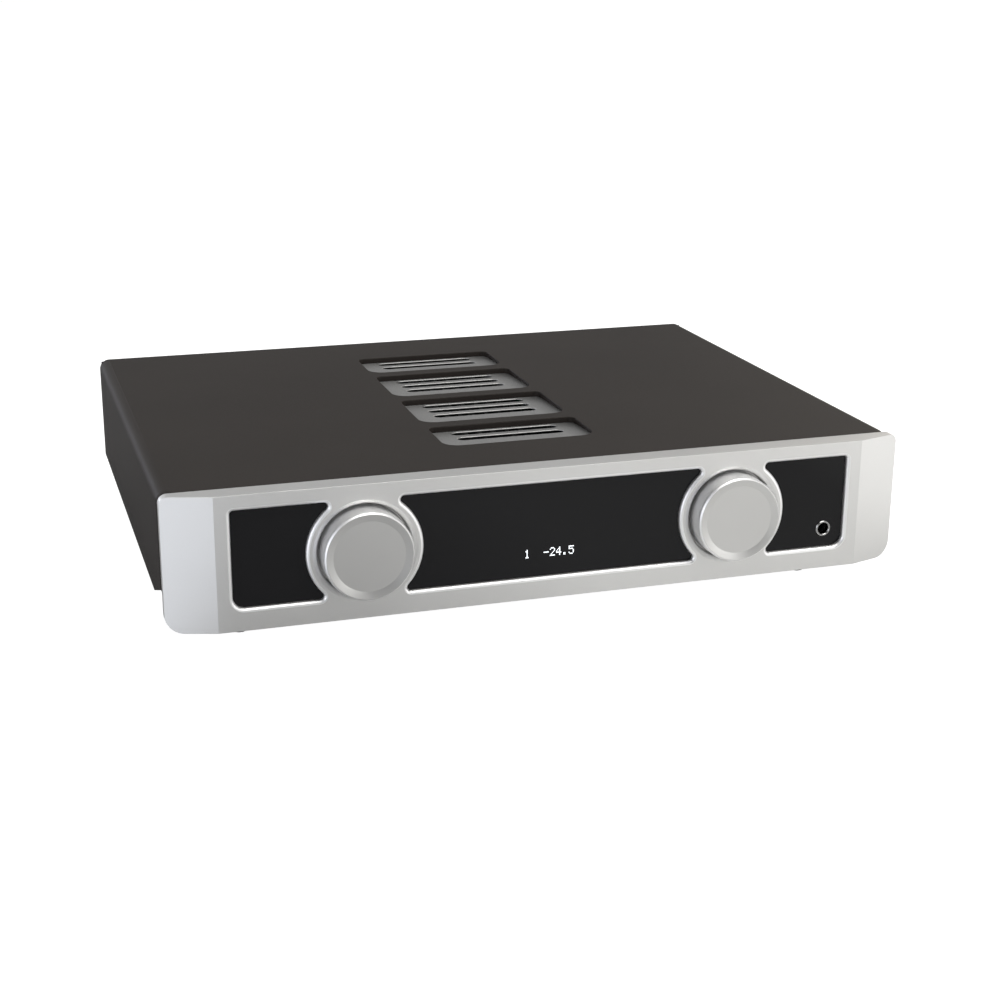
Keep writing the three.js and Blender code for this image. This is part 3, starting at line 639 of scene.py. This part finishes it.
def plate_rim(shell):
    """The outer wall with its rounded edges, as rings from the face to the back."""
    edge = quarter_round(PLATE_EDGE, 4)
    rings = []
    for inset, depth in edge:
        rings.append(shell.ring([(x, plate_face(x) + depth, z) for x, z in plate_outline(inset)]))
    for inset, depth in reversed(edge):
        rings.append(shell.ring([(x, PLATE_BACK - depth, z) for x, z in plate_outline(inset)]))
    shell.chain(rings)
    return rings


def plate_window(shell, left, right):
    """One window's rounded edge, its opening, and the pocket behind it for the glass."""
    rounded = quarter_round(WINDOW_EDGE)
    pocket = [(0, LIP), (POCKET_RIM, LIP), (POCKET_RIM, PLATE_BACK - PLATE_FRONT)]
    loops = []
    for grow, depth in rounded + pocket:
        outline = window_outline(left, right, grow)
        loops.append(shell.ring([(x, PLATE_FRONT + depth, z) for x, z in outline]))
    # The rounded edge takes the lighter silver, a painted highlight.
    shell.chain(loops[:len(rounded)], slot=1)
    shell.chain(loops[len(rounded) - 1:])
    return loops


def knob_well(shell, side):
    """The well that a knob stands in, with a shallow cove round its mouth and a hole for the nut."""
    cove = filleted([
        (WELL_MOUTH + 1.4, 0), (WELL_MOUTH, 0, 0.5), (WELL_RADIUS + 0.7, 1.1, 3.0),
        (WELL_RADIUS, COVE_DEPTH, 0.3), (WELL_RADIUS, WELL_DEPTH), (NUT_ROOM, WELL_DEPTH),
    ])
    profile = cove[1:] + [(NUT_ROOM, PLATE_BACK - PLATE_FRONT)]
    loops = around(shell, (side * KNOB.x, PLATE_FRONT, KNOB.z), "Y", profile, FINE)
    shell.chain(loops)
    return loops


def front_plate():
    """The machined plate: windows with rounded edges, knob wells with coves, and swept-back ends."""
    shell = Shell()
    rings = plate_rim(shell)
    openings = [plate_window(shell, left, right) for left, right in WINDOWS]
    openings += [knob_well(shell, side) for side in (-1, 1)]
    front = rings[0]
    half_count = len(front) // 2
    right_end = front[:half_count]
    left_end = front[half_count:]
    flat_middle = [right_end[0], right_end[-1], left_end[0], left_end[-1]]
    shell.fill(flat_middle, [loops[0] for loops in openings])
    shell.fill(right_end)
    shell.fill(left_end)
    shell.fill(rings[-1], [loops[-1] for loops in openings])
    piece = shell.make("front_plate_machined", SILVER, CUT_EDGE_PAINTED_HIGHLIGHT)
    finish_piece(piece, "chassis", "silver", "front_plate")


# ---- Knobs ----

KNOB_DISH = 19.8
KNOB_DISH_DEPTH = 1.15
KNOB_EDGE = 1.0
KNOB_WALL = 3.0
KNOB_FACE = 5.0  # how thick the face is
KNOB_HUB = 9.0
SHAFT_BORE = 3.1
GRUB_BORE = 1.65
GRUB_REACH = 22.5
KNOB_FACING = 0.92  # faces that look less straight ahead than this take the lighter silver, a painted highlight


def knob_profile():
    """The knob's half section: dished face, outer wall, and a hub with a blind bore behind."""
    depth = KNOB_HIGH.y - KNOB_LOW.y
    inside = KNOB_RADIUS - KNOB_WALL
    bore_end = KNOB_FACE + 0.2
    return filleted([
        (0, KNOB_DISH_DEPTH), (KNOB_DISH, KNOB_DISH_DEPTH, 1.6),
        (KNOB_RADIUS - KNOB_EDGE, 0, 0.4), (KNOB_RADIUS, KNOB_EDGE, 0.8),
        (KNOB_RADIUS, depth, 0.4), (inside, depth, 0.3), (inside, KNOB_FACE), (KNOB_HUB, KNOB_FACE),
        (KNOB_HUB, depth, 0.3), (SHAFT_BORE, depth), (SHAFT_BORE, bore_end), (0, bore_end),
    ])


def knob(side):
    """A turned aluminium knob with a dished face and a grub screw hole underneath."""
    name = "left" if side < 0 else "right"
    centre = (side * KNOB.x, KNOB_LOW.y, KNOB.z)
    body = turned(f"knob_{name}_turned", centre, "Y", knob_profile(), FINE, KNOB_SILVER, CUT_EDGE_PAINTED_HIGHLIGHT)
    # The knob's sides and rounded rim take the lighter silver, a painted highlight.
    for face in body.data.polygons:
        if abs(face.normal.y) < KNOB_FACING:
            face.material_index = 1
    screw = middle(f"knob_screw_{name}")
    hole_profile = [(0, -1.0), (GRUB_BORE, -1.0), (GRUB_BORE, -GRUB_REACH), (0, -GRUB_REACH)]
    tool = turned("hole", (screw.x, screw.y, KNOB.z - 3), "Z", hole_profile, SMALL)
    carve(body, tool)
    finish_piece(body, f"knob_{name}", "silver", f"knob_{name}")


# ---- Headphone socket and display ----


def jack_ring():
    low, high = mm_box("jack_ring")
    centre = middle("jack_ring")
    length = high.y - low.y
    profile = filleted([
        (3.35, length), (3.35, 0.5, 0.3), (3.75, 0, 0.15), (4.3, 0, 0.25), (4.75, 0.5, 0.2), (4.75, length),
    ])
    ring = turned("jack_ring_turned", (centre.x, low.y, centre.z), "Y", profile, MEDIUM, CHROME, hollow=True)
    finish_piece(ring, "chassis", "steel", "jack_ring")


def jack_contacts():
    """Two leaf springs that reach into the bore."""
    centre = middle("headphone_jack")
    front = mm_box("headphone_jack")[0].y
    for number, (side, depth) in enumerate([(-1, 9), (1, 17)], 1):
        shell = Shell()
        rings = []
        for along, reach in [(0, 3.2), (2, 2.4), (4, 2.1), (6, 2.4), (8, 3.2)]:
            y = front + depth + along
            outer = centre.x + side * reach
            inner = outer + side * 0.25
            rings.append(shell.ring([
                (outer, y, centre.z - 0.9), (outer, y, centre.z + 0.9),
                (inner, y, centre.z + 0.9), (inner, y, centre.z - 0.9),
            ]))
        shell.chain(rings)
        shell.fill(rings[0])
        shell.fill(rings[-1])
        piece = shell.make(f"jack_contact_{number}", GOLD)
        finish_piece(piece, "chassis", "steel")


GLYPHS = {
    "1": ("..#..", ".##..", "..#..", "..#..", "..#..", "..#..", ".###."),
    "2": (".###.", "#...#", "....#", "...#.", "..#..", ".#...", "#####"),
    "4": ("...#.", "..##.", ".#.#.", "#..#.", "#####", "...#.", "...#."),
    "5": ("#####", "#....", "####.", "....#", "....#", "#...#", ".###."),
    "-": (".....", ".....", ".....", "#####", ".....", ".....", "....."),
    ".": (".....", ".....", ".....", ".....", ".....", ".##..", ".##.."),
    " ": (".....",) * 7,
}


def display_digits(text="1  -24.5"):
    """A volume reading in lit dots, just in front of the centre window."""
    pitch_x = 0.62
    pitch_z = 0.72
    dot_x = 0.54
    dot_z = 0.62
    cell = 6
    centre = middle("display_module")
    glass_front = mm_box("window_centre")[0].y
    left = centre.x - len(text) * cell * pitch_x / 2 - 1.8
    top = centre.z + 3.5 * pitch_z - 1.5
    shell = Shell()
    for column, letter in enumerate(text):
        for row, line in enumerate(GLYPHS[letter]):
            for i, mark in enumerate(line):
                if mark != "#":
                    continue
                x = left + (column * cell + i) * pitch_x
                z = top - row * pitch_z
                corners = [(x, z), (x + dot_x, z), (x + dot_x, z - dot_z), (x, z - dot_z)]
                near = shell.ring([(px, glass_front - 0.06, pz) for px, pz in corners])
                far = shell.ring([(px, glass_front - 0.01, pz) for px, pz in corners])
                shell.bridge(near, far, smooth=False)
                shell.fill(near)
                shell.fill(far)
    piece = shell.make("display_digits", DIGITS)
    finish_piece(piece, "chassis", "display")


# ---- Cover ----

COVER_RADIUS = 6.3
COVER_CORNER = 9.0
COVER_RELIEF = 38.0
COVER_RELIEF_RISE = 13.9
COVER_EDGE = 0.6
HEM_INNER = 207.0
TAB_INNER = 200.5
VENT_NODES = [f"vent_grille_{i}" for i in range(1, 5)]
VENT_OVERLAP = 3.0
VENT_SHALLOW = 1.65
VENT_DEEP = 3.5


def vent_floor(node, y):
    """How high a vent's floor stands: it slopes down towards the back."""
    low, high = mm_box(node)
    front = low.y + VENT_OVERLAP
    back = high.y - VENT_OVERLAP
    share = min(1.0, max(0.0, (y - front) / (back - front)))
    return COVER_HIGH.z - VENT_SHALLOW - (VENT_DEEP - VENT_SHALLOW) * share


def vent_opening(node, grow):
    """The outline of one opening in the cover, seen from above."""
    low, high = mm_box(node)
    reach = VENT_OVERLAP - grow
    return rounded_rectangle(
        low.x + reach, low.y + reach, high.x - reach, high.y - reach, 9.5 + grow, 4.5 + grow
    )


def cover_half_width(y, inset):
    """The cover narrows round a quarter circle at its front corners."""
    radius = COVER_CORNER - inset
    back_of_curve = COVER_LOW.y + COVER_CORNER
    half = COVER_HIGH.x - inset
    if y >= back_of_curve:
        return half
    rise = min(radius, back_of_curve - y)
    return half - radius + math.sqrt(max(0.0, radius * radius - rise * rise))


def cover_bottom(y):
    """The sides' lower edge, which slants up to the plate."""
    share = max(0.0, 1 - (y - COVER_LOW.y) / COVER_RELIEF)
    return COVER_LOW.z + share * COVER_RELIEF_RISE


def cover_section(y, inset):
    """One cross-section from the left lower edge over the top to the right."""
    half = cover_half_width(y, inset)
    radius = COVER_RADIUS - inset
    top = COVER_HIGH.z - inset
    right = [(half, cover_bottom(y))] + arc(half - radius, top - radius, radius, 0, QUARTER, 10)
    return [(-x, y, z) for x, z in right] + [(x, y, z) for x, z in reversed(right)]


def flanged_opening(shell, node):
    """An opening's rounded rim, its turned-down wall that meets the vent's floor, and the wall's outside."""
    rim = 0.6
    wall = 1.2
    loops = []
    for grow, depth in quarter_round(rim, 4):
        loops.append(shell.ring([(x, y, COVER_HIGH.z - depth) for x, y in vent_opening(node, grow)]))
    for grow in (0, wall):
        loops.append(shell.ring([(x, y, vent_floor(node, y) + 0.02) for x, y in vent_opening(node, grow)]))
    loops.append(shell.ring([(x, y, COVER_HIGH.z - SHEET) for x, y in vent_opening(node, wall)]))
    shell.chain(loops)
    return loops


def cover_stations():
    """Where the cover's cross-sections lie, close together round the front corners."""
    front = COVER_LOW.y
    curve = [front + COVER_CORNER * (1 - math.cos(QUARTER * i / 10)) for i in range(11)]
    stations = [front + COVER_EDGE] + [y for y in curve if y > front + 1.5 * COVER_EDGE]
    return stations + [front + COVER_RELIEF, COVER_HIGH.y - COVER_EDGE]


def cover_skin(shell, rings, openings):
    """One skin of the sheet: its two rounded sides, and the flat top between them."""
    half_count = len(rings[0]) // 2
    for first, second in zip(rings, rings[1:]):
        shell.bridge(first[:half_count], second[:half_count], closed=False)
        shell.bridge(first[half_count:], second[half_count:], closed=False)
    left = [ring[half_count - 1] for ring in rings]
    right = [ring[half_count] for ring in rings]
    shell.fill(right + left[::-1], openings)


def cover_end(shell, outer, inner, y, outward):
    """Closes the sheet at its front or back, over a rounded outer edge."""
    rounded = []
    for inset, depth in quarter_round(COVER_EDGE, 4)[::-1][1:]:
        end = y + outward * (COVER_EDGE - depth)
        rounded.append(shell.ring([(px, end, pz) for px, _, pz in cover_section(y, inset)]))
    shell.chain([outer] + rounded, closed=False)
    shell.bridge(rounded[-1], inner, closed=False)
    for corner in (0, -1):
        shell.face([outer[corner]] + [ring[corner] for ring in rounded] + [inner[corner]], False)


def top_cover():
    """The folded sheet: outer and inner skins, rounded openings, and edges closed all round."""
    shell = Shell()
    stations = cover_stations()
    outer = [shell.ring(cover_section(y, 0)) for y in stations]
    inner = [shell.ring(cover_section(y, SHEET)) for y in stations]
    openings = [flanged_opening(shell, node) for node in VENT_NODES]
    cover_skin(shell, outer, [loops[0] for loops in openings])
    cover_skin(shell, inner, [loops[-1] for loops in openings])
    cover_end(shell, outer[0], inner[0], stations[0], -1)
    cover_end(shell, outer[-1], inner[-1], stations[-1], 1)
    for corner in (0, -1):
        outer_edge = [ring[corner] for ring in outer]
        inner_edge = [ring[corner] for ring in inner]
        shell.bridge(outer_edge, inner_edge, closed=False, smooth=False)
    piece = shell.make("top_cover_folded", CHARCOAL)
    finish_piece(piece, "chassis", "charcoal", "top_cover")


def rear_tab(side):
    """The tab at the cover's back corner, with its two screw holes."""
    inner = COVER_HIGH.x - SHEET + 0.3
    tab = slab(
        (side * TAB_INNER, COVER_HIGH.y - SHEET, COVER_LOW.z + 0.02),
        (side * inner, COVER_HIGH.y - 0.05, COVER_HIGH.z - SHEET + 0.2),
    )
    holes = []
    for number in (1, 2) if side < 0 else (3, 4):
        screw = middle(f"cover_screw_{number}")
        profile = [(0, 0), (1.8, 0), (1.8, 12), (0, 12)]
        holes.append(turned("hole", (screw.x, COVER_HIGH.y - 6, screw.z), "Y", profile, SMALL))
    return carve(tab, *holes)


def cover_hems():
    """The sides' turned-in lower edges, and the two tabs that the rear screws hold."""
    inner = COVER_HIGH.x - SHEET + 0.3
    for side, name in ((-1, "left"), (1, "right")):
        hem = slab(
            (side * HEM_INNER, COVER_LOW.y + COVER_RELIEF + 4, COVER_LOW.z + 0.02),
            (side * inner, COVER_HIGH.y - SHEET, COVER_LOW.z + SHEET),
        )
        for part, label in ((hem, "hem"), (rear_tab(side), "rear_tab")):
            part.name = f"cover_{label}_{name}"
            part.data.materials.append(CHARCOAL)
            soften(part, 0.25, 2)
            finish_piece(part, "chassis", "charcoal")


def tray_cheeks():
    """The base tray's upturned front corners, which close the gap behind the cover's slanted edges."""
    low, _ = mm_box("base_tray")
    inner = mm_box("sub_panel")[1].x + 0.5
    outer = COVER_HIGH.x - SHEET - 1.5
    for side, name in ((-1, "left"), (1, "right")):
        cheek = slab(
            (side * max(inner, outer - SHEET), low.y + 0.3, low.z + SHEET),
            (side * outer, COVER_LOW.y + COVER_RELIEF + 3, COVER_LOW.z + COVER_RELIEF_RISE + 8),
        )
        cheek.name = f"tray_cheek_{name}"
        cheek.data.materials.append(CHARCOAL)
        soften(cheek, 0.25, 2)
        finish_piece(cheek, "chassis", "charcoal")


def slab(first, second):
    """A plain block between two corners, to be cut or softened."""
    low = [min(a, b) for a, b in zip(first, second)]
    high = [max(a, b) for a, b in zip(first, second)]
    shell = Shell()
    corners = [(low[0], low[1]), (high[0], low[1]), (high[0], high[1]), (low[0], high[1])]
    bottom = shell.ring([(x, y, low[2]) for x, y in corners])
    top = shell.ring([(x, y, high[2]) for x, y in corners])
    shell.bridge(bottom, top, smooth=False)
    shell.face(bottom, False)
    shell.face(top, False)
    return shell.make("slab")


def soften(piece, width, segments=3):
    """Rounds a piece's sharp edges and keeps its flat faces flat."""
    piece.data.shade_smooth()
    bevel = piece.modifiers.new("edges", "BEVEL")
    bevel.width = width * MM
    bevel.segments = segments
    bevel.limit_method = "ANGLE"
    bevel.angle_limit = math.radians(30)
    bevel.harden_normals = True
    return apply_modifiers(piece)


# ---- Vents ----

SLOT_LENGTH = 65.4
SLOT_WIDTH = 7.4
SLOT_ROLL = 0.5
GRILLE_SHEET = 0.6
SLOT_PITCH = 13.1
SLOT_BACK_MARGIN = 6.3


def slot_middles(node):
    """How far back each slot's middle lies; the short openings hold two slots and the long ones three."""
    low, high = mm_box(node)
    last = high.y - VENT_OVERLAP - SLOT_BACK_MARGIN
    depth = high.y - low.y - 2 * VENT_OVERLAP
    count = 3 if depth > 45 else 2
    return [last - i * SLOT_PITCH for i in range(count)]


def vent_grille(node):
    """A thin sloping floor under an opening, with rounded slots whose edges are rolled and lightened as a
    painted highlight.
    """
    low, high = mm_box(node)
    middle_x = (high.x + low.x) / 2
    shell = Shell()
    outline = vent_opening(node, VENT_OVERLAP - 0.6)
    top = shell.ring([(x, y, vent_floor(node, y)) for x, y in outline])
    under = shell.ring([(x, y, vent_floor(node, y) - GRILLE_SHEET) for x, y in outline])
    shell.bridge(top, under)
    holes_above = []
    holes_below = []
    for y in slot_middles(node):
        loops = []
        rolled = quarter_round(SLOT_ROLL, 4)
        for grow, depth in rolled + [(0, GRILLE_SHEET)]:
            radius = SLOT_WIDTH / 2 + grow
            end = SLOT_LENGTH / 2 + grow
            slot = rounded_rectangle(
                middle_x - end, y - radius, middle_x + end, y + radius, radius - 0.001, radius - 0.001, 8
            )
            loops.append(shell.ring([(px, py, vent_floor(node, py) - depth) for px, py in slot]))
        # The rolled edges take the lighter grey, a painted highlight.
        shell.chain(loops[:len(rolled)], slot=1)
        shell.chain(loops[len(rolled) - 1:])
        holes_above.append(loops[0])
        holes_below.append(loops[-1])
    shell.fill(top, holes_above)
    shell.fill(under, holes_below)
    piece = shell.make(f"{node}_pressed", VENT_GREY, VENT_EDGE_PAINTED_HIGHLIGHT)
    finish_piece(piece, "chassis", "vent_grey", node)


# ---- Feet ----


def foot(node):
    """A turned foot that tapers to a rim round its rubber pad."""
    top = mm_box(node)[1].z
    tip = mm_box(node)[0].z
    centre = middle(node)
    profile = filleted([
        (0, 3.4), (4.7, 3.4), (4.7, tip, 0.3), (6, tip, 0.5), (12, top - 5, 1.5), (12, top, 0.4), (0, top),
    ])
    piece = turned(f"{node}_turned", (centre.x, centre.y, 0), "Z", profile, MEDIUM, SILVER)
    finish_piece(piece, "chassis", "silver", node)


def foot_pad(node):
    centre = middle(node)
    profile = filleted([(0, 0), (4.6, 0, 0.6), (4.6, 3.3), (0, 3.3)])
    piece = turned(f"{node}_moulded", (centre.x, centre.y, 0), "Z", profile, MEDIUM, RUBBER)
    finish_piece(piece, "chassis", "rubber", node)


# ---- Back ----

# The mains inlet's flange, width, and where its three-pin recess lies.
INLET_FLANGE = 3.0
INLET_WIDTH = 62.0
RECESS_OFFSET = 14.5
RECESS_DEPTH = 17.0
BLADES_HALF_WIDTH = 9.0
BLADES_HALF_HEIGHT = 6.0
PHONO_SPACING = 15.0  # between a block's upper and lower sockets
PHONO_DEPTH = 14.0  # how far a block reaches behind the panel


def cover_screw(number):
    """A pan-head screw with a cross recess."""
    node = f"cover_screw_{number}"
    centre = middle(node)
    seat = mm_box(node)[0].y + 9
    profile = filleted([
        (0, -9), (1.5, -9, 0.3), (1.5, 0), (2.9, 0, 0.15), (2.9, 0.9, 0.9), (1.6, 1.9, 1.5), (0, 1.95),
    ])
    screw = turned(f"{node}_turned", (centre.x, seat, centre.z), "Y", profile, MEDIUM, STEEL)
    deep = seat + 0.8
    arms = [
        slab((centre.x - 1.5, deep, centre.z - 0.32), (centre.x + 1.5, deep + 3, centre.z + 0.32)),
        slab((centre.x - 0.32, deep, centre.z - 1.5), (centre.x + 0.32, deep + 3, centre.z + 1.5)),
    ]
    carve(screw, *arms)
    finish_piece(screw, "chassis", "steel", node)


def phono_sections(length):
    """The half sections of one socket, whose collar stands out by a length: (kind, profile, hollow)."""
    collar = filleted([
        (3.3, -4), (3.3, length - 0.3, 0.2), (3.6, length, 0.15), (3.95, length, 0.2),
        (4.15, length - 0.4, 0.2), (4.15, -4),
    ])
    washer = filleted([(4.2, 0.05), (4.2, 1.0), (5.6, 1.0, 0.35), (6.1, 0.5, 0.3), (6.1, 0.05)])
    insulator = filleted([
        (0, -4), (3.25, -4), (3.25, length - 1.2, 0.3), (1.75, length - 1.2, 0.2), (1.75, length - 8),
        (0, length - 8),
    ])
    contact = filleted([
        (1.45, length - 7.8), (1.45, length - 1.6, 0.1), (1.7, length - 1.6, 0.1), (1.7, length - 7.8),
    ])
    return [
        ("collar", collar, True), ("washer", washer, True),
        ("insulator", insulator, False), ("contact", contact, True),
    ]


def phono_socket(label, x, z, length, colour):
    """A plated collar with a coloured washer and insulator and a gold centre."""
    panel = mm_box("rear_panel")[1].y
    for kind, profile, hollow in phono_sections(length):
        plated_part = kind in ("collar", "contact")
        material = GOLD if plated_part else colour
        slot = "brass" if plated_part else "black_plastic"
        piece = turned(f"phono_{kind}_{label}", (x, panel, z), "Y", profile, MEDIUM, material, hollow=hollow)
        finish_piece(piece, "chassis", slot)


def phono_block(number):
    """Two stacked phono sockets in a moulded housing behind the panel."""
    node = f"phono_block_{number}"
    low, high = mm_box(node)
    centre = middle(node)
    front, panel = (corner.y for corner in mm_box("rear_panel"))
    body = slab((low.x, front - 0.1 - PHONO_DEPTH, low.z), (high.x, front - 0.1, high.z))
    body.name = f"{node}_housing"
    body.data.materials.append(BLACK_PLASTIC)
    soften(body, 0.4)
    finish_piece(body, "chassis", "black_plastic", node)
    for row, level, colour in ((1, "upper", WHITE_PLASTIC), (-1, "lower", RED_PLASTIC)):
        z = centre.z + row * PHONO_SPACING / 2
        phono_socket(f"{number}_{level}", centre.x, z, high.y - panel, colour)


def softened_copy(node, width, *materials):
    """A copy of a boxy CAD node with its edges rounded."""
    mesh = NODES[node].data.copy()
    work = bmesh.new()
    work.from_mesh(mesh)
    bmesh.ops.remove_doubles(work, verts=work.verts, dist=1e-6)
    bmesh.ops.dissolve_limit(work, angle_limit=math.radians(1), verts=work.verts, edges=work.edges)
    work.to_mesh(mesh)
    work.free()
    mesh.materials.clear()
    for material in materials:
        mesh.materials.append(material)
    piece = link(f"{node}_moulded", mesh)
    return soften(piece, width)


def mains_inlet():
    """The inlet's housing, with metal blades in its recess."""
    piece = softened_copy("mains_inlet", 0.35, BLACK_PLASTIC, STEEL)
    low, high = mm_box("mains_inlet")
    recess = Vector((low.x + INLET_FLANGE + INLET_WIDTH / 2 - RECESS_OFFSET, 0, middle("mains_inlet").z))
    blade_root = high.y - RECESS_DEPTH + 0.5
    blade_tip = high.y - 3

    def on_blade(corner):
        return (
            abs(corner.x - recess.x) < BLADES_HALF_WIDTH
            and abs(corner.z - recess.z) < BLADES_HALF_HEIGHT
            and blade_root < corner.y < blade_tip
        )

    for face in piece.data.polygons:
        corners = [piece.data.vertices[i].co / MM for i in face.vertices]
        face.material_index = int(all(on_blade(corner) for corner in corners))
    finish_piece(piece, "chassis", "black_plastic", "mains_inlet")


def small_moulding(node):
    """The rocker or the fuse drawer, each on the body of its own name."""
    piece = softened_copy(node, 0.3, BLACK_PLASTIC)
    finish_piece(piece, node, "black_plastic", node)


# ---- Studio ----


def camera():
    """The photograph's viewpoint: a little left of the front and above, on a long lens."""
    position = Vector((-307.2, -1017.9, 368.7)) * MM
    turn, tip, roll = (math.radians(a) for a in (17.905, -17.791, 0.433))
    forward = Vector((math.sin(turn) * math.cos(tip), math.cos(turn) * math.cos(tip), math.sin(tip)))
    level = Vector((math.cos(turn), -math.sin(turn), 0))
    above = level.cross(forward)
    right = level * math.cos(roll) + above * math.sin(roll)
    up = -level * math.sin(roll) + above * math.cos(roll)
    data = bpy.data.cameras.new("camera")
    data.sensor_width = 36.0
    data.lens = 36.0 * 1.7359
    data.shift_x = -0.003
    data.shift_y = -0.0085
    data.clip_start = 0.01
    data.clip_end = 100
    piece = bpy.data.objects.new("camera", data)
    bpy.context.scene.collection.objects.link(piece)
    rotation = Matrix((right, up, -forward)).transposed()
    piece.matrix_world = Matrix.Translation(position) @ rotation.to_4x4()
    bpy.context.scene.camera = piece


# What the floor in front gives back to the object, from left to right: (x in metres, colour).
FLOOR_GLOW = [
    (-0.34, (0.88, 0.92, 1.0, 1)), (-0.25, (0.80, 0.83, 0.90, 1)), (-0.18, (0.10, 0.10, 0.10, 1)),
    (-0.08, (0.22, 0.22, 0.22, 1)), (0.05, (0.52, 0.52, 0.51, 1)), (0.27, (0.47, 0.465, 0.45, 1)),
    (0.36, (0.98, 0.97, 0.95, 1)),
]
FLOOR_REACH = 0.5
FLOOR_HALF_SIZE = 9000
# The glow fades out over these distances behind and ahead of the plate's front, in metres.
FADE_BEHIND = 0.05
FADE_AHEAD = 0.02


def floor_look():
    """Pale paper that the camera sees as white. Other rays see the glow, ahead of the plate only."""
    look = Look("pale_floor", base_color=grey(0.3), roughness=0.9, specular=0.0)
    look.into(look.ramp(look.noise(120, 3.0), [(0.3, grey(0.29)), (0.7, grey(0.31))]), "Base Color")
    split = look.node("ShaderNodeSeparateXYZ")
    look.links.new(look.place(), split.inputs["Vector"])
    across = look.spread(split.outputs["X"], 0, 1, -FLOOR_REACH, FLOOR_REACH)
    glow = look.ramp(across, [((x + FLOOR_REACH) / (2 * FLOOR_REACH), colour) for x, colour in FLOOR_GLOW])
    front = PLATE_FRONT * MM
    ahead = look.spread(split.outputs["Y"], 0, 1, front + FADE_BEHIND, front - FADE_AHEAD)
    seen = look.node("ShaderNodeLightPath").outputs["Is Camera Ray"]
    shown = look.node("ShaderNodeMix", data_type="RGBA")
    look.links.new(seen, shown.inputs["Factor"])
    look.links.new(glow, shown.inputs["A"])
    shown.inputs["B"].default_value = grey(1.0)
    look.into(shown.outputs["Result"], "Emission Color")
    strength = look.node("ShaderNodeMath", operation="MAXIMUM")
    look.links.new(seen, strength.inputs[0])
    look.links.new(ahead, strength.inputs[1])
    look.into(strength.outputs["Value"], "Emission Strength")
    return look.material


def floor():
    """A wide flat sheet that the feet stand on."""
    half = FLOOR_HALF_SIZE
    shell = Shell()
    shell.face(shell.ring([(-half, -half, 0), (half, -half, 0), (half, half, 0), (-half, half, 0)]), False)
    piece = shell.make("floor", floor_look())
    if piece.data.polygons[0].normal.z < 0:
        piece.data.flip_normals()


# Soft boxes on the room's walls: direction, colour, half width in degrees and softness in degrees.
SOFT_BOXES = [
    ((0.15, -0.30, 0.94), (4.2, 4.15, 4.0), 15, 12),
    ((0.78, -0.60, 0.10), (1.6, 1.59, 1.55), 20, 16),
    ((-0.88, -0.46, 0.06), (2.0, 2.05, 2.2), 14, 14),
    ((-0.50, 0.85, 0.03), (4.1, 4.25, 4.8), 5, 7),
    ((-0.50, 0.72, 0.48), (0.6, 0.6, 0.62), 16, 14),
    ((0.74, 0.62, 0.24), (1.2, 1.08, 0.93), 10, 14),
]


def room_tone(nodes, links, direction):
    """A grey that is darker in front of the object and lighter behind it."""
    split = nodes.new("ShaderNodeSeparateXYZ")
    links.new(direction, split.inputs["Vector"])
    half = new_node(nodes, "ShaderNodeMath", operation="MULTIPLY_ADD")
    half.inputs[1].default_value = 0.5
    half.inputs[2].default_value = 0.5
    links.new(split.outputs["Y"], half.inputs[0])
    room = nodes.new("ShaderNodeValToRGB")
    for element, (position, tone) in zip(room.color_ramp.elements, ((0.35, 0.22), (0.75, 0.45))):
        element.position = position
        element.color = grey(tone)
    links.new(half.outputs["Value"], room.inputs["Fac"])
    return room.outputs["Color"]


def add_soft_box(nodes, links, direction, total, centre, colour, width, softness):
    """Adds one soft box to the room's light."""
    near = new_node(nodes, "ShaderNodeVectorMath", operation="DOT_PRODUCT")
    near.inputs[1].default_value = Vector(centre).normalized()
    links.new(direction, near.inputs[0])
    fade = new_node(nodes, "ShaderNodeMapRange", interpolation_type="SMOOTHSTEP")
    fade.inputs["From Min"].default_value = math.cos(math.radians(width + softness))
    fade.inputs["From Max"].default_value = math.cos(math.radians(width))
    links.new(near.outputs["Value"], fade.inputs["Value"])
    box = new_node(nodes, "ShaderNodeVectorMath", operation="MULTIPLY_ADD")
    box.inputs[1].default_value = colour
    links.new(fade.outputs["Result"], box.inputs[0])
    links.new(total, box.inputs[2])
    return box.outputs["Vector"]


def world():
    """A dim room with soft boxes on its walls. The camera sees it as plain white."""
    made = bpy.data.worlds.new("studio")
    bpy.context.scene.world = made
    made.use_nodes = True
    nodes = made.node_tree.nodes
    links = made.node_tree.links
    direction = nodes.new("ShaderNodeTexCoord").outputs["Generated"]
    total = room_tone(nodes, links, direction)
    for box in SOFT_BOXES:
        total = add_soft_box(nodes, links, direction, total, *box)
    seen = nodes.new("ShaderNodeLightPath").outputs["Is Camera Ray"]
    plain = new_node(nodes, "ShaderNodeMix", data_type="RGBA")
    links.new(seen, plain.inputs["Factor"])
    links.new(total, plain.inputs["A"])
    plain.inputs["B"].default_value = grey(1.0)
    links.new(plain.outputs["Result"], nodes["Background"].inputs["Color"])


def studio():
    camera()
    floor()
    world()
    settings = bpy.context.scene.view_settings
    settings.view_transform = "Standard"
    settings.look = "None"


def build():
    dress_cad_nodes()
    front_plate()
    for side in (-1, 1):
        knob(side)
    jack_ring()
    jack_contacts()
    display_digits()
    top_cover()
    cover_hems()
    tray_cheeks()
    for node in VENT_NODES:
        vent_grille(node)
    for node in NODES:
        if node.startswith("foot_pad"):
            foot_pad(node)
        elif node.startswith("foot_"):
            foot(node)
    for number in range(1, 5):
        cover_screw(number)
    for number in range(1, 4):
        phono_block(number)
    mains_inlet()
    for node in ("power_rocker", "fuse_drawer"):
        small_moulding(node)
    studio()


build()
